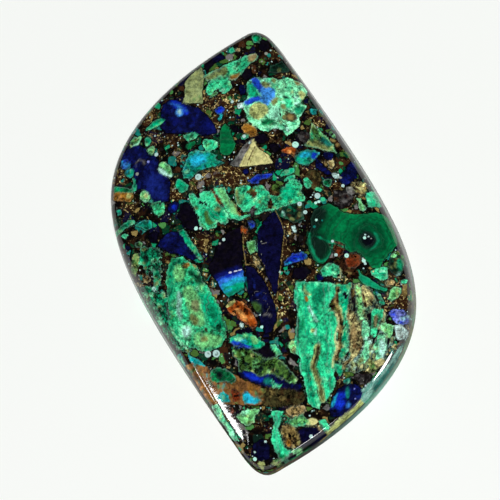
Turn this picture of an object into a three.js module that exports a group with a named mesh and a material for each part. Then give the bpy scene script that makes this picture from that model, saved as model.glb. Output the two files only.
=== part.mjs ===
// A freeform polished cabochon: azurite and malachite chips bonded in bronze-filled resin and ground as one stone.
// Millimetres, +Z up. The stone lies on its flat back, and the origin is the middle of the back.
import * as THREE from "three";

// The outline of the back. A half turn about +Z leaves it as it is, so one long side describes both.
const TIP_CORNER = new THREE.Vector2(0.2, 18.2); // where the edges would meet if the tip were sharp
const WIDEST = new THREE.Vector2(12.2, -4.3); // the outermost point of the bulge
const FLANK_ANGLE = -54.5; // direction in which the long flank leaves the tip
const CURVE_ANGLE = 208; // direction in which the rounded flank leaves the same tip
const FLANK_ROUNDING = 2.2; // how far from the corner the tip's rounding starts, along each flank
const CURVE_ROUNDING = 1.3;
const FLANK_PULL = 13.6; // lengths of the curve handles: how long each flank keeps its direction
const BULGE_PULL_UP = 4.6;
const BULGE_PULL_DOWN = 5.4;
const CURVE_PULL = 6.7;

// The section, from the back to the top of the dome.
const APEX = 5.4;
const RIM_HEIGHT = 3.1; // where the dome would meet the wall with no shoulder
const DOME_POWER = 2.2; // above 2, the dome is flatter in the middle than a circle's arc
const CROWN_LONG = 16.4; // towards its top the dome's level lines round off to an ellipse with these radii
const CROWN_WIDE = 11.6;
const CROWN_TURN = 103; // degrees from +X to the ellipse's long axis
const CROWN_BLEND = 1.5; // the higher, the nearer the middle the rounding off starts
const DRAFT = 0.35; // how far the wall leans in, from the back to the rim
const BACK_CHAMFER = 0.2;
const SHOULDER = 0.5; // length of the rounded shoulder on the wall and on the dome
const SOFT_SHOULDER = 1.2; // along the lower left flank it is ground rounder
const SOFT_AT = -148; // degrees
const SOFT_SPREAD = 30; // degrees

// How finely the skin is faceted.
const FLANK_STEPS = 28;
const CURVE_STEPS = 22;
const TIP_STEPS = 8;
const BACK_RINGS = 3;
const SHOULDER_RINGS = 4;
const DOME_RINGS = 15;

const { degToRad, radToDeg } = THREE.MathUtils;
const along = (degrees, length) =>
  new THREE.Vector2(length, 0).rotateAround(new THREE.Vector2(), degToRad(degrees));

// One long side, from the upper tip round the bulge and the lower tip.
function sideCurves() {
  const lowerCorner = TIP_CORNER.clone().negate();
  const flankStart = TIP_CORNER.clone().add(along(FLANK_ANGLE, FLANK_ROUNDING));
  const curveEnd = TIP_CORNER.clone().add(along(CURVE_ANGLE, CURVE_ROUNDING)).negate();
  const flank = new THREE.CubicBezierCurve(
    flankStart,
    flankStart.clone().add(along(FLANK_ANGLE, FLANK_PULL)),
    WIDEST.clone().add(new THREE.Vector2(0, BULGE_PULL_UP)),
    WIDEST,
  );
  const rounded = new THREE.CubicBezierCurve(
    WIDEST,
    WIDEST.clone().sub(new THREE.Vector2(0, BULGE_PULL_DOWN)),
    curveEnd.clone().sub(along(CURVE_ANGLE, CURVE_PULL)),
    curveEnd,
  );
  const tip = new THREE.QuadraticBezierCurve(curveEnd, lowerCorner, flankStart.clone().negate());
  return [
    [flank, FLANK_STEPS],
    [rounded, CURVE_STEPS],
    [tip, TIP_STEPS],
  ];
}

// The whole outline, anticlockwise as seen from above.
function outlinePoints() {
  const side = sideCurves().flatMap(([curve, steps]) => curve.getSpacedPoints(steps).slice(0, -1));
  return [...side, ...side.map((point) => point.clone().negate())].reverse();
}

// How far the crown's ellipse reaches on the ray to a point of the outline.
function crownPoint(point) {
  const turn = point.angle() - degToRad(CROWN_TURN);
  const reach = 1 / Math.hypot(Math.cos(turn) / CROWN_LONG, Math.sin(turn) / CROWN_WIDE);
  return point.clone().setLength(reach);
}

const domeHeight = (share) => APEX - (APEX - RIM_HEIGHT) * share ** DOME_POWER;

function shoulderLength(point) {
  const off = (radToDeg(point.angle()) - 360 - SOFT_AT) / SOFT_SPREAD;
  return SHOULDER + (SOFT_SHOULDER - SHOULDER) * Math.exp(-off * off);
}

// The section on the ray to one point of the outline: pairs of (share of the ray, height), from back to apex.
function sectionAt(point) {
  const reach = point.length();
  const inset = (distance) => 1 - distance / reach;
  const shoulder = shoulderLength(point);
  const wallTop = RIM_HEIGHT - shoulder;
  const foot = new THREE.Vector2(inset((DRAFT * wallTop) / RIM_HEIGHT), wallTop);
  const rim = new THREE.Vector2(inset(DRAFT), RIM_HEIGHT);
  const domeEdge = inset(DRAFT + shoulder);
  const crown = new THREE.Vector2(domeEdge, domeHeight(domeEdge));
  const bend = new THREE.QuadraticBezierCurve(foot, rim, crown);

  const back = [];
  for (let i = 0; i <= BACK_RINGS; i++)
    back.push(new THREE.Vector2((inset(BACK_CHAMFER) * i) / BACK_RINGS, 0));
  const dome = [];
  for (let i = 1; i <= DOME_RINGS; i++) {
    const share = domeEdge * (1 - i / DOME_RINGS);
    dome.push(new THREE.Vector2(share, domeHeight(share)));
  }
  return [...back, new THREE.Vector2(1, BACK_CHAMFER), ...bend.getPoints(SHOULDER_RINGS), ...dome];
}

// Where a share of a ray ends, seen from above. Near the edge the level lines run along the outline.
function planPoint(edge, crown, share) {
  return edge.clone().lerp(crown, (1 - share) ** CROWN_BLEND).multiplyScalar(share);
}

// A lathe turned from one section gives the closed skin, and each of its meridians is then set to its own ray.
function stoneGeometry() {
  const outline = outlinePoints();
  const crown = outline.map(crownPoint);
  const sections = outline.map(sectionAt);
  const rows = sections[0].length;
  const skin = new THREE.LatheGeometry(sections[0], outline.length);
  const position = skin.getAttribute("position");
  for (let i = 0; i < position.count; i++) {
    const ray = Math.floor(i / rows) % outline.length;
    const { x: share, y: height } = sections[ray][i % rows];
    const plan = planPoint(outline[ray], crown[ray], share);
    position.setXYZ(i, plan.x, plan.y, height);
  }
  skin.computeVertexNormals();
  return skin;
}

const polishedStone = new THREE.MeshStandardMaterial({ color: 0x14594a, roughness: 0.12, metalness: 0 });

const stone = new THREE.Mesh(stoneGeometry(), polishedStone);
stone.name = "azurite_cabochon";

const cabochon = new THREE.Group();
cabochon.add(stone);

export default cabochon;
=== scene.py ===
"""A polished freeform cabochon: azurite, malachite and chrysocolla chips bonded in dark, bronze-filled resin.

The stone lies on its flat back. Chips are flush with the surface, so they are laid out on the dome as painted
outlines, in millimetres seen from above, and the material cuts, bands, mottles and rims them.
"""
import math

import bmesh
import bpy
import numpy as np
from mathutils import Matrix, Quaternion, Vector, noise
from mathutils.bvhtree import BVHTree


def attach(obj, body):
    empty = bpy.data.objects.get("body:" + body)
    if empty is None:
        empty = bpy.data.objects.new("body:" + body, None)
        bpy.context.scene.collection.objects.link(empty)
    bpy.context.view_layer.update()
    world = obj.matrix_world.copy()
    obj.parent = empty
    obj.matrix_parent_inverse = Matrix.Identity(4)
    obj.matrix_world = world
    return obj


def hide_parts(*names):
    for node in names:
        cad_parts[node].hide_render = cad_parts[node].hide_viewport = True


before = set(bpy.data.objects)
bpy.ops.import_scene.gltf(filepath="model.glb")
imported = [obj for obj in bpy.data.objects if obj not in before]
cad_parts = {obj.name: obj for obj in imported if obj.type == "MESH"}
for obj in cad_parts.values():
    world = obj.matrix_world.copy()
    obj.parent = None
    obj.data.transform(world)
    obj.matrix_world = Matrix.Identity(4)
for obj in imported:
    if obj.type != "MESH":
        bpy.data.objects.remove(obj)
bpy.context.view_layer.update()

MM = 0.001

# ---------------------------------------------------------------------------------------------------------------
# Colours, as the eye names them (sRGB, 0 to 255)
# ---------------------------------------------------------------------------------------------------------------
COLOURS = {
    "mint": (62, 204, 142),
    "sea": (0, 168, 118),
    "pale mint": (150, 238, 196),
    "aqua": (190, 250, 232),
    "spring": (118, 208, 128),
    "leaf": (66, 126, 64),
    "emerald": (2, 122, 68),
    "jade": (10, 140, 96),
    "forest": (0, 56, 34),
    "bottle": (12, 34, 26),
    "olive": (122, 132, 76),
    "moss": (62, 98, 40),
    "khaki": (184, 194, 118),
    "turquoise": (0, 172, 172),
    "teal": (16, 118, 106),
    "cyan": (34, 178, 214),
    "sky": (64, 142, 230),
    "royal": (16, 48, 190),
    "ultramarine": (12, 22, 102),
    "sapphire": (20, 34, 110),
    "navy": (8, 10, 42),
    "ink": (7, 4, 18),
    "violet": (92, 102, 176),
    "lilac": (140, 150, 226),
    "orange": (150, 68, 16),
    "apricot": (226, 156, 84),
    "amber": (150, 104, 34),
    "rust": (98, 38, 14),
    "umber": (58, 34, 18),
    "cream": (214, 208, 142),
    "tan": (164, 140, 92),
    "bronze": (136, 118, 68),
    "slate": (108, 106, 104),
    "smoke": (58, 55, 30),
    "coal": (20, 16, 18),
    "resin": (5, 4, 4),
    "bubble": (184, 220, 214),
    "mist": (146, 150, 140),
    # glint: the white of painted highlights, reflections of light painted as marks
    "glint": (214, 220, 240),
    "frost": (150, 205, 188),
    "icy mint": (140, 240, 182),
    "copper": (122, 84, 48),
    "sage": (132, 146, 98),
    "bark": (50, 27, 14),
    "indigo": (9, 9, 46),
    "wet mint": (56, 224, 156),
}

# Each finish: body colour, second colour, strength of the banding, strength of the mottling, strength of the pale
# rind along the edge, and how ragged the edge is in millimetres.
FINISHES = {
    "pale mint": ("icy mint", "sea", 0.15, 0.60, 0.20, 0.10),
    "copper": ("copper", "amber", 0.10, 0.40, 0.00, 0.08),
    "jade": ("jade", "sea", 0.10, 0.20, 0.10, 0.03),
    "mint": ("mint", "sea", 0.35, 0.60, 0.40, 0.10),
    "flowing mint": ("wet mint", "sea", 0.70, 0.40, 0.35, 0.10),
    "olive mint": ("spring", "olive", 0.10, 0.80, 0.30, 0.12),
    "mottled green": ("mint", "emerald", 0.50, 0.66, 0.25, 0.16),
    "sea": ("sea", "jade", 0.30, 0.45, 0.30, 0.10),
    "ragged sea": ("jade", "bottle", 0.10, 0.85, 0.40, 0.34),
    "rim": ("frost", "teal", 0.55, 0.30, 0.00, 0.12),
    "emerald": ("emerald", "forest", 0.50, 0.12, 0.05, 0.05),
    "dark emerald": ("emerald", "bottle", 0.30, 0.60, 0.40, 0.10),
    "spring": ("spring", "leaf", 0.20, 0.60, 0.50, 0.12),
    "leaf": ("leaf", "spring", 0.15, 0.70, 0.45, 0.12),
    "olive": ("olive", "leaf", 0.10, 0.80, 0.10, 0.08),
    "moss": ("moss", "bottle", 0.05, 0.95, 0.35, 0.10),
    "sage": ("sage", "khaki", 0.10, 0.35, 0.10, 0.04),
    "bark": ("bark", "cream", 0.42, 0.70, 0.00, 0.18),
    "columns": ("sage", "ink", 0.90, 0.85, 0.30, 0.20),
    "blade": ("indigo", "navy", 0.15, 0.50, 0.00, 0.04),
    "khaki": ("khaki", "olive", 0.10, 0.50, 0.10, 0.08),
    "turquoise": ("turquoise", "teal", 0.25, 0.50, 0.15, 0.08),
    "teal": ("teal", "sea", 0.30, 0.60, 0.20, 0.10),
    "blue wedge": ("royal", "sky", 0.55, 0.30, 0.05, 0.05),
    "royal": ("royal", "navy", 0.30, 0.55, 0.15, 0.08),
    "violet": ("violet", "royal", 0.10, 0.80, 0.10, 0.08),
    "azurite": ("navy", "ultramarine", 0.15, 0.45, 0.00, 0.06),
    "night": ("ink", "coal", 0.15, 0.40, 0.00, 0.06),
    "ink": ("ink", "navy", 0.10, 0.40, 0.00, 0.08),
    "coal": ("coal", "slate", 0.08, 0.40, 0.00, 0.16),
    "orange": ("orange", "rust", 0.15, 0.70, 0.10, 0.08),
    "amber": ("amber", "umber", 0.10, 0.60, 0.10, 0.08),
    "rust": ("rust", "umber", 0.05, 0.90, 0.10, 0.10),
    "umber": ("umber", "resin", 0.05, 0.80, 0.00, 0.16),
    "cream": ("cream", "khaki", 0.30, 0.14, 0.05, 0.00),
    "tan": ("tan", "bronze", 0.10, 0.85, 0.20, 0.12),
    "bronze": ("bronze", "umber", 0.10, 0.90, 0.10, 0.18),
    "slate": ("slate", "coal", 0.15, 0.40, 0.10, 0.03),
    "smoke": ("smoke", "umber", 0.05, 0.70, 0.00, 0.05),
    "bottle": ("bottle", "forest", 0.10, 0.60, 0.10, 0.10),
    "crystal": ("bubble", "mist", 0.05, 0.60, 0.30, 0.06),
}

# Small flecks of other colours inside a finish.
FLECKS = {
    "mottled green": ("jade", "emerald", "wet mint", "sea", "icy mint",
                      "leaf", "wet mint", "emerald", "sea", "spring"),
    "columns": ("icy mint", "resin", "aqua", "wet mint", "resin", "cream", "bark", "aqua"),
    "coal": ("slate", "ink", "umber", "ink", "bark"),
    "sage": ("olive", "khaki", "leaf", "sage"),
    "slate": ("coal", "mist", "bark"),
    "flowing mint": ("jade", "icy mint", "wet mint", "jade", "sea"),
    "mint": ("jade", "spring", "icy mint", "olive", "jade", "moss"),
    "olive mint": ("bark", "icy mint", "khaki", "jade", "umber"),
    "pale mint": ("forest", "olive", "aqua", "wet mint", "jade", "khaki", "aqua"),
    "copper": ("turquoise", "umber", "amber", "leaf", "apricot", "jade"),
    "sea": ("icy mint", "forest", "spring", "jade"),
    "ragged sea": ("icy mint", "bottle", "olive", "jade", "bottle"),
    "spring": ("khaki", "jade", "icy mint", "moss"),
    "leaf": ("moss", "khaki", "sea", "forest"),
    "teal": ("cyan", "forest", "icy mint", "bottle"),
    "turquoise": ("icy mint", "teal", "jade"),
    "azurite": ("ultramarine", "ink", "sapphire", "navy", "sapphire"),
    "blade": ("ink", "navy", "ink"),
    "bark": ("tan", "ink", "khaki", "resin", "ink", "copper", "resin"),
    "bottle": ("olive", "umber", "jade", "frost", "bark", "resin"),
    "dark emerald": ("sea", "bottle", "forest"),
    "royal": ("sky", "navy", "teal", "cyan"),
    "violet": ("lilac", "ultramarine", "frost", "royal"),
    "moss": ("spring", "bottle", "khaki", "forest", "spring"),
    "orange": ("apricot", "umber", "rust"),
    "bronze": ("cream", "ink", "tan", "khaki"),
    "smoke": ("resin", "bronze", "umber"),
    "umber": ("resin", "moss", "ink", "bronze"),
    "olive": ("moss", "khaki", "leaf"),
    "tan": ("bronze", "umber", "cream"),
    "amber": ("umber", "tan", "apricot"),
}

# ---------------------------------------------------------------------------------------------------------------
# The chips, in the order that they are laid: (finish, corners, extras), in millimetres seen from above.
# Of the extras, "soft" rounds the corners off that many times; "along" is the direction of the bands in degrees;
# "eye" makes them rings about a point instead; "scale" packs them closer; "straight" keeps the sides from breaking
# like stone.
# ---------------------------------------------------------------------------------------------------------------
RIM = [
    ("rim", [(12.4, -6.0), (11.8, -6.6), (11.5, -7.2), (11.0, -8.0), (10.4, -8.9), (9.8, -9.6), (9.0, -10.4),
     (8.3, -11.1), (7.7, -11.6), (8.2, -12.6), (10.0, -11.6), (12.0, -9.0), (13.0, -6.5)], {"along": 52}),
    ("khaki", [(7.85, -11.95), (7.15, -12.7), (6.15, -13.7), (5.15, -14.6), (4.3, -15.3), (4.6, -15.9),
     (6.0, -15.0), (7.6, -13.4), (8.3, -12.6)], {"along": 50}),
]

UPPER_TIP = [
    ("dark emerald", [(-0.6, 17.0), (-0.2, 17.15), (0.2, 16.9), (0.0, 16.4), (-0.4, 16.4)]),
    ("sea", [(-2.4, 15.9), (-2.1, 16.05), (-1.9, 15.8), (-2.2, 15.6)]),
    ("tan", [(-1.8, 16.0), (-1.4, 15.9), (-1.5, 15.7), (-1.8, 15.75)]),
    ("night", [(0.1, 16.7), (0.8, 16.4), (0.9, 15.9), (0.5, 15.7), (0.1, 15.9)]),
    ("blade", [(-3.75, 15.25), (-3.1, 15.6), (-2.75, 15.2), (-3.35, 14.85)]),
    ("night", [(-4.3, 14.6), (-3.85, 15.1), (-3.5, 14.8), (-4.1, 14.2)]),
    ("sage", [(-5.9, 13.2), (-5.6, 13.65), (-5.0, 14.2), (-4.6, 14.45), (-4.4, 14.0), (-4.4, 12.9), (-4.5, 12.1),
     (-4.4, 11.4), (-5.3, 11.5), (-5.95, 11.6), (-5.8, 12.2)], {"along": 90}),
    ("mint", [(-4.3, 13.7), (-3.5, 14.1), (-2.7, 14.5), (-1.7, 14.9), (-0.7, 15.3), (-0.2, 15.4), (0.0, 15.2),
     (-0.2, 14.9), (-0.7, 14.6), (-1.0, 14.2), (-1.4, 13.7), (-1.7, 13.3), (-2.1, 13.3), (-2.5, 13.6), (-3.0, 13.7),
     (-3.6, 13.4), (-4.1, 13.3)], {"along": 25}),
    ("mint", [(-4.1, 12.9), (-3.8, 13.3), (-3.0, 13.65), (-2.6, 13.55), (-2.1, 13.0), (-2.0, 12.7), (-2.2, 12.5),
     (-2.6, 12.2), (-3.0, 12.3), (-3.2, 12.7), (-3.4, 12.5), (-3.6, 12.2), (-3.9, 12.1), (-4.1, 12.4)],
     {"along": 20}),
    ("leaf", [(-3.9, 11.8), (-3.2, 12.1), (-3.3, 12.35), (-3.6, 12.1)]),
    ("bottle", [(0.8, 13.8), (1.0, 14.4), (1.9, 14.8), (2.5, 14.0), (1.7, 13.9)]),
    ("night", [(-1.2, 14.0), (-0.7, 14.1), (-0.4, 13.6), (-0.9, 13.2), (-1.25, 13.5)]),
    ("azurite", [(-1.4, 12.7), (-1.05, 12.75), (-1.0, 12.1), (-1.3, 12.05)]),
]

UPPER_LEFT = [
    ("azurite", [(-7.6, 11.5), (-7.2, 11.8), (-6.7, 11.8), (-5.9, 11.5), (-5.2, 11.1), (-4.6, 10.9), (-4.0, 10.2),
     (-3.4, 9.5), (-3.2, 8.9), (-4.3, 8.8), (-4.9, 8.85), (-5.4, 9.1), (-6.1, 9.0), (-7.2, 9.1), (-7.7, 9.6),
     (-7.75, 10.6)], {"along": 20}),
    ("royal", [(-3.45, 10.75), (-2.9, 11.1), (-2.6, 10.9), (-2.8, 10.45), (-3.1, 10.5)]),
    ("turquoise", [(-2.9, 10.5), (-2.72, 10.42), (-2.95, 9.9), (-3.12, 10.0)]),
    ("sea", [(-9.0, 9.5), (-8.7, 9.9), (-8.0, 10.35), (-7.4, 10.2), (-7.6, 9.95), (-8.3, 9.65), (-8.8, 9.4)],
     {"soft": 1, "along": 25}),
    ("leaf", [(-10.35, 8.4), (-9.95, 8.95), (-9.6, 8.85), (-9.3, 8.95), (-9.35, 8.6), (-9.65, 8.25), (-10.1, 8.1)],
     {"soft": 1}),
    ("azurite", [(-10.9, 7.4), (-10.4, 7.95), (-9.6, 8.25), (-9.1, 7.95), (-8.65, 7.5), (-8.2, 7.2), (-7.9, 6.8),
     (-7.9, 6.3), (-7.4, 5.7), (-7.0, 5.4), (-6.9, 4.9), (-7.0, 4.2), (-7.0, 3.55), (-7.6, 3.45), (-8.3, 3.55),
     (-8.6, 4.3), (-9.1, 4.7), (-9.6, 4.7), (-9.75, 5.3), (-9.85, 6.0), (-10.3, 6.6), (-10.9, 7.0)], {"along": 60}),
    ("royal", [(-10.95, 7.05), (-10.5, 7.2), (-10.15, 6.8), (-10.3, 6.35), (-10.7, 6.3), (-11.0, 6.6)],
     {"soft": 1}),
    ("teal", [(-10.6, 6.3), (-10.2, 6.4), (-9.85, 6.1), (-9.95, 5.6), (-10.4, 5.6), (-10.65, 5.9)], {"soft": 1}),
    ("sea", [(-8.95, 8.8), (-8.6, 8.7), (-8.55, 8.3), (-8.85, 8.0), (-9.05, 8.3)], {"soft": 1}),
    ("spring", [(-8.75, 7.95), (-8.4, 8.05), (-8.1, 7.8), (-8.2, 7.5), (-8.5, 7.45), (-8.7, 7.6)], {"soft": 1}),
    ("spring", [(-7.85, 6.4), (-7.6, 6.75), (-7.2, 6.6), (-6.9, 6.2), (-6.65, 5.7), (-6.8, 5.35), (-7.2, 5.7),
     (-7.65, 6.0)], {"soft": 1}),
    ("sea", [(-6.45, 5.0), (-6.1, 5.25), (-5.8, 5.0), (-5.4, 4.65), (-5.5, 4.3), (-5.9, 4.2), (-6.35, 4.5)],
     {"soft": 1}),
    ("spring", [(-9.35, 4.1), (-9.2, 4.4), (-8.9, 4.45), (-8.6, 4.2), (-8.55, 3.8), (-8.8, 3.55), (-9.15, 3.6)],
     {"soft": 1}),
    ("amber", [(-11.6, 4.5), (-10.6, 4.35), (-9.95, 4.35), (-9.9, 4.0), (-10.2, 3.65), (-10.6, 3.8), (-11.6, 3.9)]),
    ("dark emerald", [(-11.5, 4.9), (-10.6, 4.8), (-9.95, 4.7), (-9.95, 4.4), (-10.6, 4.4), (-11.5, 4.5)]),
    ("sea", [(-9.95, 5.5), (-9.75, 5.4), (-9.7, 4.6), (-9.9, 4.5)]),
    ("mottled green", [(-8.4, 3.45), (-7.7, 3.55), (-7.35, 3.35), (-7.3, 2.9), (-7.5, 2.35), (-7.9, 2.45),
     (-8.25, 2.9)]),
    ("teal", [(-8.6, 3.75), (-8.3, 3.75), (-8.2, 3.5), (-8.5, 3.45)], {"soft": 1}),
    ("azurite", [(-7.0, 3.15), (-6.5, 3.45), (-6.1, 3.25), (-6.3, 2.7), (-6.9, 2.55)], {"soft": 1}),
    ("mint", [(-5.85, 8.75), (-5.3, 9.0), (-4.9, 8.95), (-4.55, 8.8), (-5.0, 8.5), (-5.4, 8.35), (-5.7, 8.55)]),
    ("emerald", [(-5.7, 7.9), (-5.0, 8.35), (-4.8, 8.1), (-5.4, 7.6)], {"soft": 1}),
    ("mint", [(-4.25, 8.4), (-3.15, 8.25), (-3.1, 7.6), (-3.9, 7.45), (-4.25, 7.9)], {"soft": 1}),
    ("teal", [(-5.9, 5.9), (-5.6, 6.6), (-5.35, 7.3), (-4.8, 7.55), (-3.9, 7.35), (-3.15, 7.1), (-3.3, 6.8),
     (-2.6, 6.4), (-3.5, 6.15), (-4.6, 5.85), (-5.3, 5.3), (-5.8, 5.3)], {"along": 10}),
]

UPPER_MIDDLE = [
    ("emerald", [(-2.9, 9.0), (-2.7, 9.5), (-2.4, 9.6), (-2.15, 9.2), (-2.05, 8.6), (-1.75, 8.2), (-1.8, 7.6),
     (-2.1, 7.1), (-2.55, 7.05), (-2.9, 7.4), (-2.85, 8.2)], {"soft": 1, "along": 0}),
    ("night", [(-2.2, 9.35), (-1.8, 9.5), (-1.55, 9.2), (-1.8, 8.85)], {"soft": 2}),
    ("amber", [(-1.3, 9.3), (-0.8, 9.6), (-0.35, 9.35), (0.05, 9.0), (-0.1, 8.55), (-0.5, 8.45), (-0.95, 8.9)],
     {"soft": 1}),
    ("sea", [(-1.35, 8.5), (-1.0, 8.72), (-0.6, 8.6), (-0.7, 8.35), (-1.1, 8.28)], {"soft": 2}),
    ("night", [(-0.2, 8.4), (0.3, 8.8), (0.9, 8.5), (0.8, 8.1), (0.1, 8.1)], {"soft": 1}),
    ("slate", [(-0.35, 8.25), (-0.7, 8.05), (-1.1, 7.6), (-1.6, 6.8), (-2.1, 6.3), (-1.8, 6.15), (-1.3, 6.1),
     (-1.1, 6.7), (-0.8, 7.3), (-0.45, 7.7)], {"along": 60, "straight": True}),
    ("cream", [(-0.35, 8.25), (-0.15, 8.1), (0.0, 7.6), (0.3, 7.35), (0.9, 6.95), (1.25, 6.35), (0.0, 6.2),
     (-1.35, 6.1), (-1.2, 6.5), (-0.9, 7.1), (-0.5, 7.65)], {"along": 62, "straight": True}),
    ("coal", [(3.2, 8.6), (3.5, 9.0), (4.0, 8.8), (4.2, 8.4), (3.7, 8.0), (3.3, 8.3)]),
    ("night", [(-0.4, 8.4), (0.1, 8.6), (0.6, 8.6), (0.8, 8.2), (0.5, 8.0), (0.0, 7.9)]),
    ("night", [(1.0, 7.8), (1.3, 7.95), (1.75, 7.5), (1.4, 7.25), (1.1, 7.5)]),
    ("orange", [(1.95, 7.3), (2.3, 7.55), (2.7, 7.65), (3.1, 7.45), (3.25, 7.3), (3.0, 7.1), (2.9, 6.9), (2.6, 7.0),
     (2.2, 7.15)]),
    ("teal", [(2.95, 6.75), (3.4, 7.3), (3.9, 7.45), (4.4, 7.45), (4.85, 7.2), (4.5, 6.75), (4.0, 6.2), (3.5, 6.3),
     (3.0, 6.5)], {"along": 15}),
    ("royal", [(-0.7, 4.95), (-0.4, 5.0), (0.0, 5.3), (0.4, 5.4), (1.2, 5.45), (1.0, 5.2), (0.4, 5.0), (0.1, 4.75),
     (-0.4, 4.75)], {"along": 25}),
    ("sea", [(2.0, 5.6), (2.3, 5.85), (2.9, 5.95), (2.9, 5.6), (2.5, 5.4), (2.1, 5.3), (1.8, 5.2)]),
    ("sea", [(2.15, 4.9), (2.5, 5.25), (2.95, 5.3), (3.0, 5.1), (2.7, 5.0)]),
    ("azurite", [(-1.15, 5.7), (-0.8, 5.9), (-0.6, 5.6), (-0.85, 5.4)], {"soft": 1}),
]

BIG_MINT = [
    ("pale mint", [(-0.8, 12.9), (-0.5, 13.3), (-0.1, 13.4), (0.3, 13.2), (0.6, 13.3), (1.1, 13.4), (1.7, 13.2),
     (2.2, 13.4), (2.7, 13.3), (3.0, 13.2), (3.4, 13.0), (3.6, 12.7), (3.8, 12.4), (3.8, 12.0), (3.5, 11.6),
     (3.3, 11.3), (3.8, 11.1), (3.6, 10.7), (3.4, 10.3), (3.1, 10.1), (3.3, 9.8), (3.2, 9.4), (2.9, 9.0),
     (2.4, 8.6), (2.0, 9.0), (1.7, 9.2), (1.2, 9.2), (0.9, 8.9), (0.2, 9.2), (-0.2, 9.4), (-0.6, 9.8), (-0.8, 10.0),
     (-0.9, 10.6), (-1.0, 11.0), (-1.1, 11.3), (-0.8, 11.6)]),
    ("turquoise", [(4.05, 10.85), (4.5, 10.85), (4.55, 10.5), (4.3, 10.4), (4.1, 10.55)]),
    ("crystal", [(-1.6, 11.2), (-1.1, 11.25), (-1.1, 10.9), (-1.5, 10.85)]),
    ("bottle", [(4.0, 11.7), (4.4, 11.6), (4.5, 11.1), (4.15, 11.1)]),
]

RIGHT_SHOULDER = [
    ("leaf", [(4.2, 9.65), (4.6, 9.3), (5.1, 8.9), (5.5, 8.5), (5.9, 8.0), (6.15, 7.35), (5.4, 7.45), (4.9, 7.6),
     (4.5, 7.7), (4.1, 7.8), (3.65, 7.85), (4.1, 8.3), (4.2, 8.8)], {"along": -50}),
    ("azurite", [(5.15, 7.2), (5.5, 7.35), (5.9, 7.1), (5.75, 6.7), (5.35, 6.75)]),
    ("azurite", [(4.6, 6.85), (4.85, 6.4), (5.2, 6.1), (5.75, 5.6), (5.5, 5.45), (5.1, 5.7), (4.65, 6.15)]),
    ("tan", [(5.5, 6.5), (5.8, 6.7), (6.0, 6.2), (5.8, 5.9), (5.6, 6.1)]),
    ("crystal", [(5.85, 5.55), (6.3, 5.6), (6.4, 5.3), (6.1, 5.15)]),
    ("smoke", [(3.8, 5.5), (4.3, 5.85), (4.9, 5.6), (5.05, 4.8), (4.5, 4.15), (4.2, 4.6), (3.9, 5.1)],
     {"soft": 1, "eye": (3.9, 4.6)}),
    ("dark emerald", [(5.1, 4.9), (5.3, 5.05), (5.8, 5.05), (5.85, 4.8), (5.6, 4.5), (5.2, 4.6)], {"soft": 1}),
    ("mint", [(3.6, 5.0), (3.9, 5.25), (4.2, 5.0), (4.4, 4.7), (4.1, 4.3), (3.8, 4.4)], {"soft": 1}),
    ("sea", [(4.55, 4.45), (4.9, 4.4), (5.05, 4.15), (4.7, 4.05)], {"soft": 1}),
    ("azurite", [(7.4, 6.6), (7.85, 6.0), (7.7, 5.4), (7.25, 4.9), (6.9, 4.65), (6.4, 4.95), (6.4, 5.25),
     (6.7, 5.6), (7.0, 6.2)], {"along": 55}),
    ("coal", [(6.0, 4.1), (6.9, 4.2), (7.5, 3.7), (7.2, 3.1), (6.6, 2.75), (6.0, 3.1)]),
    ("slate", [(6.9, 4.5), (7.5, 4.45), (7.7, 4.0), (7.1, 3.9)], {"soft": 1}),
    ("bronze", [(7.3, 4.9), (8.0, 5.0), (8.6, 4.7), (8.4, 3.9), (7.9, 3.9), (7.4, 4.5)], {"soft": 1}),
    ("cream", [(7.65, 4.58), (8.32, 4.52), (8.1, 4.15)]),
    ("flowing mint", [(8.5, 4.1), (8.95, 4.2), (9.1, 4.35), (9.35, 3.85), (9.6, 3.1), (9.5, 2.98), (8.65, 3.0),
     (8.6, 3.4), (8.45, 3.8)], {"along": 75, "straight": True}),
    ("spring", [(7.75, 3.6), (8.0, 3.6), (8.2, 3.2), (8.45, 2.8), (8.3, 2.5), (8.1, 2.65), (7.9, 3.1)]),
    ("moss", [(5.65, 9.2), (6.1, 8.7), (6.0, 8.4), (5.7, 8.6)], {"soft": 1}),
    ("umber", [(6.1, 8.4), (6.6, 7.9), (6.8, 7.4), (6.3, 7.5), (6.1, 7.9)], {"soft": 1}),
]

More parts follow.
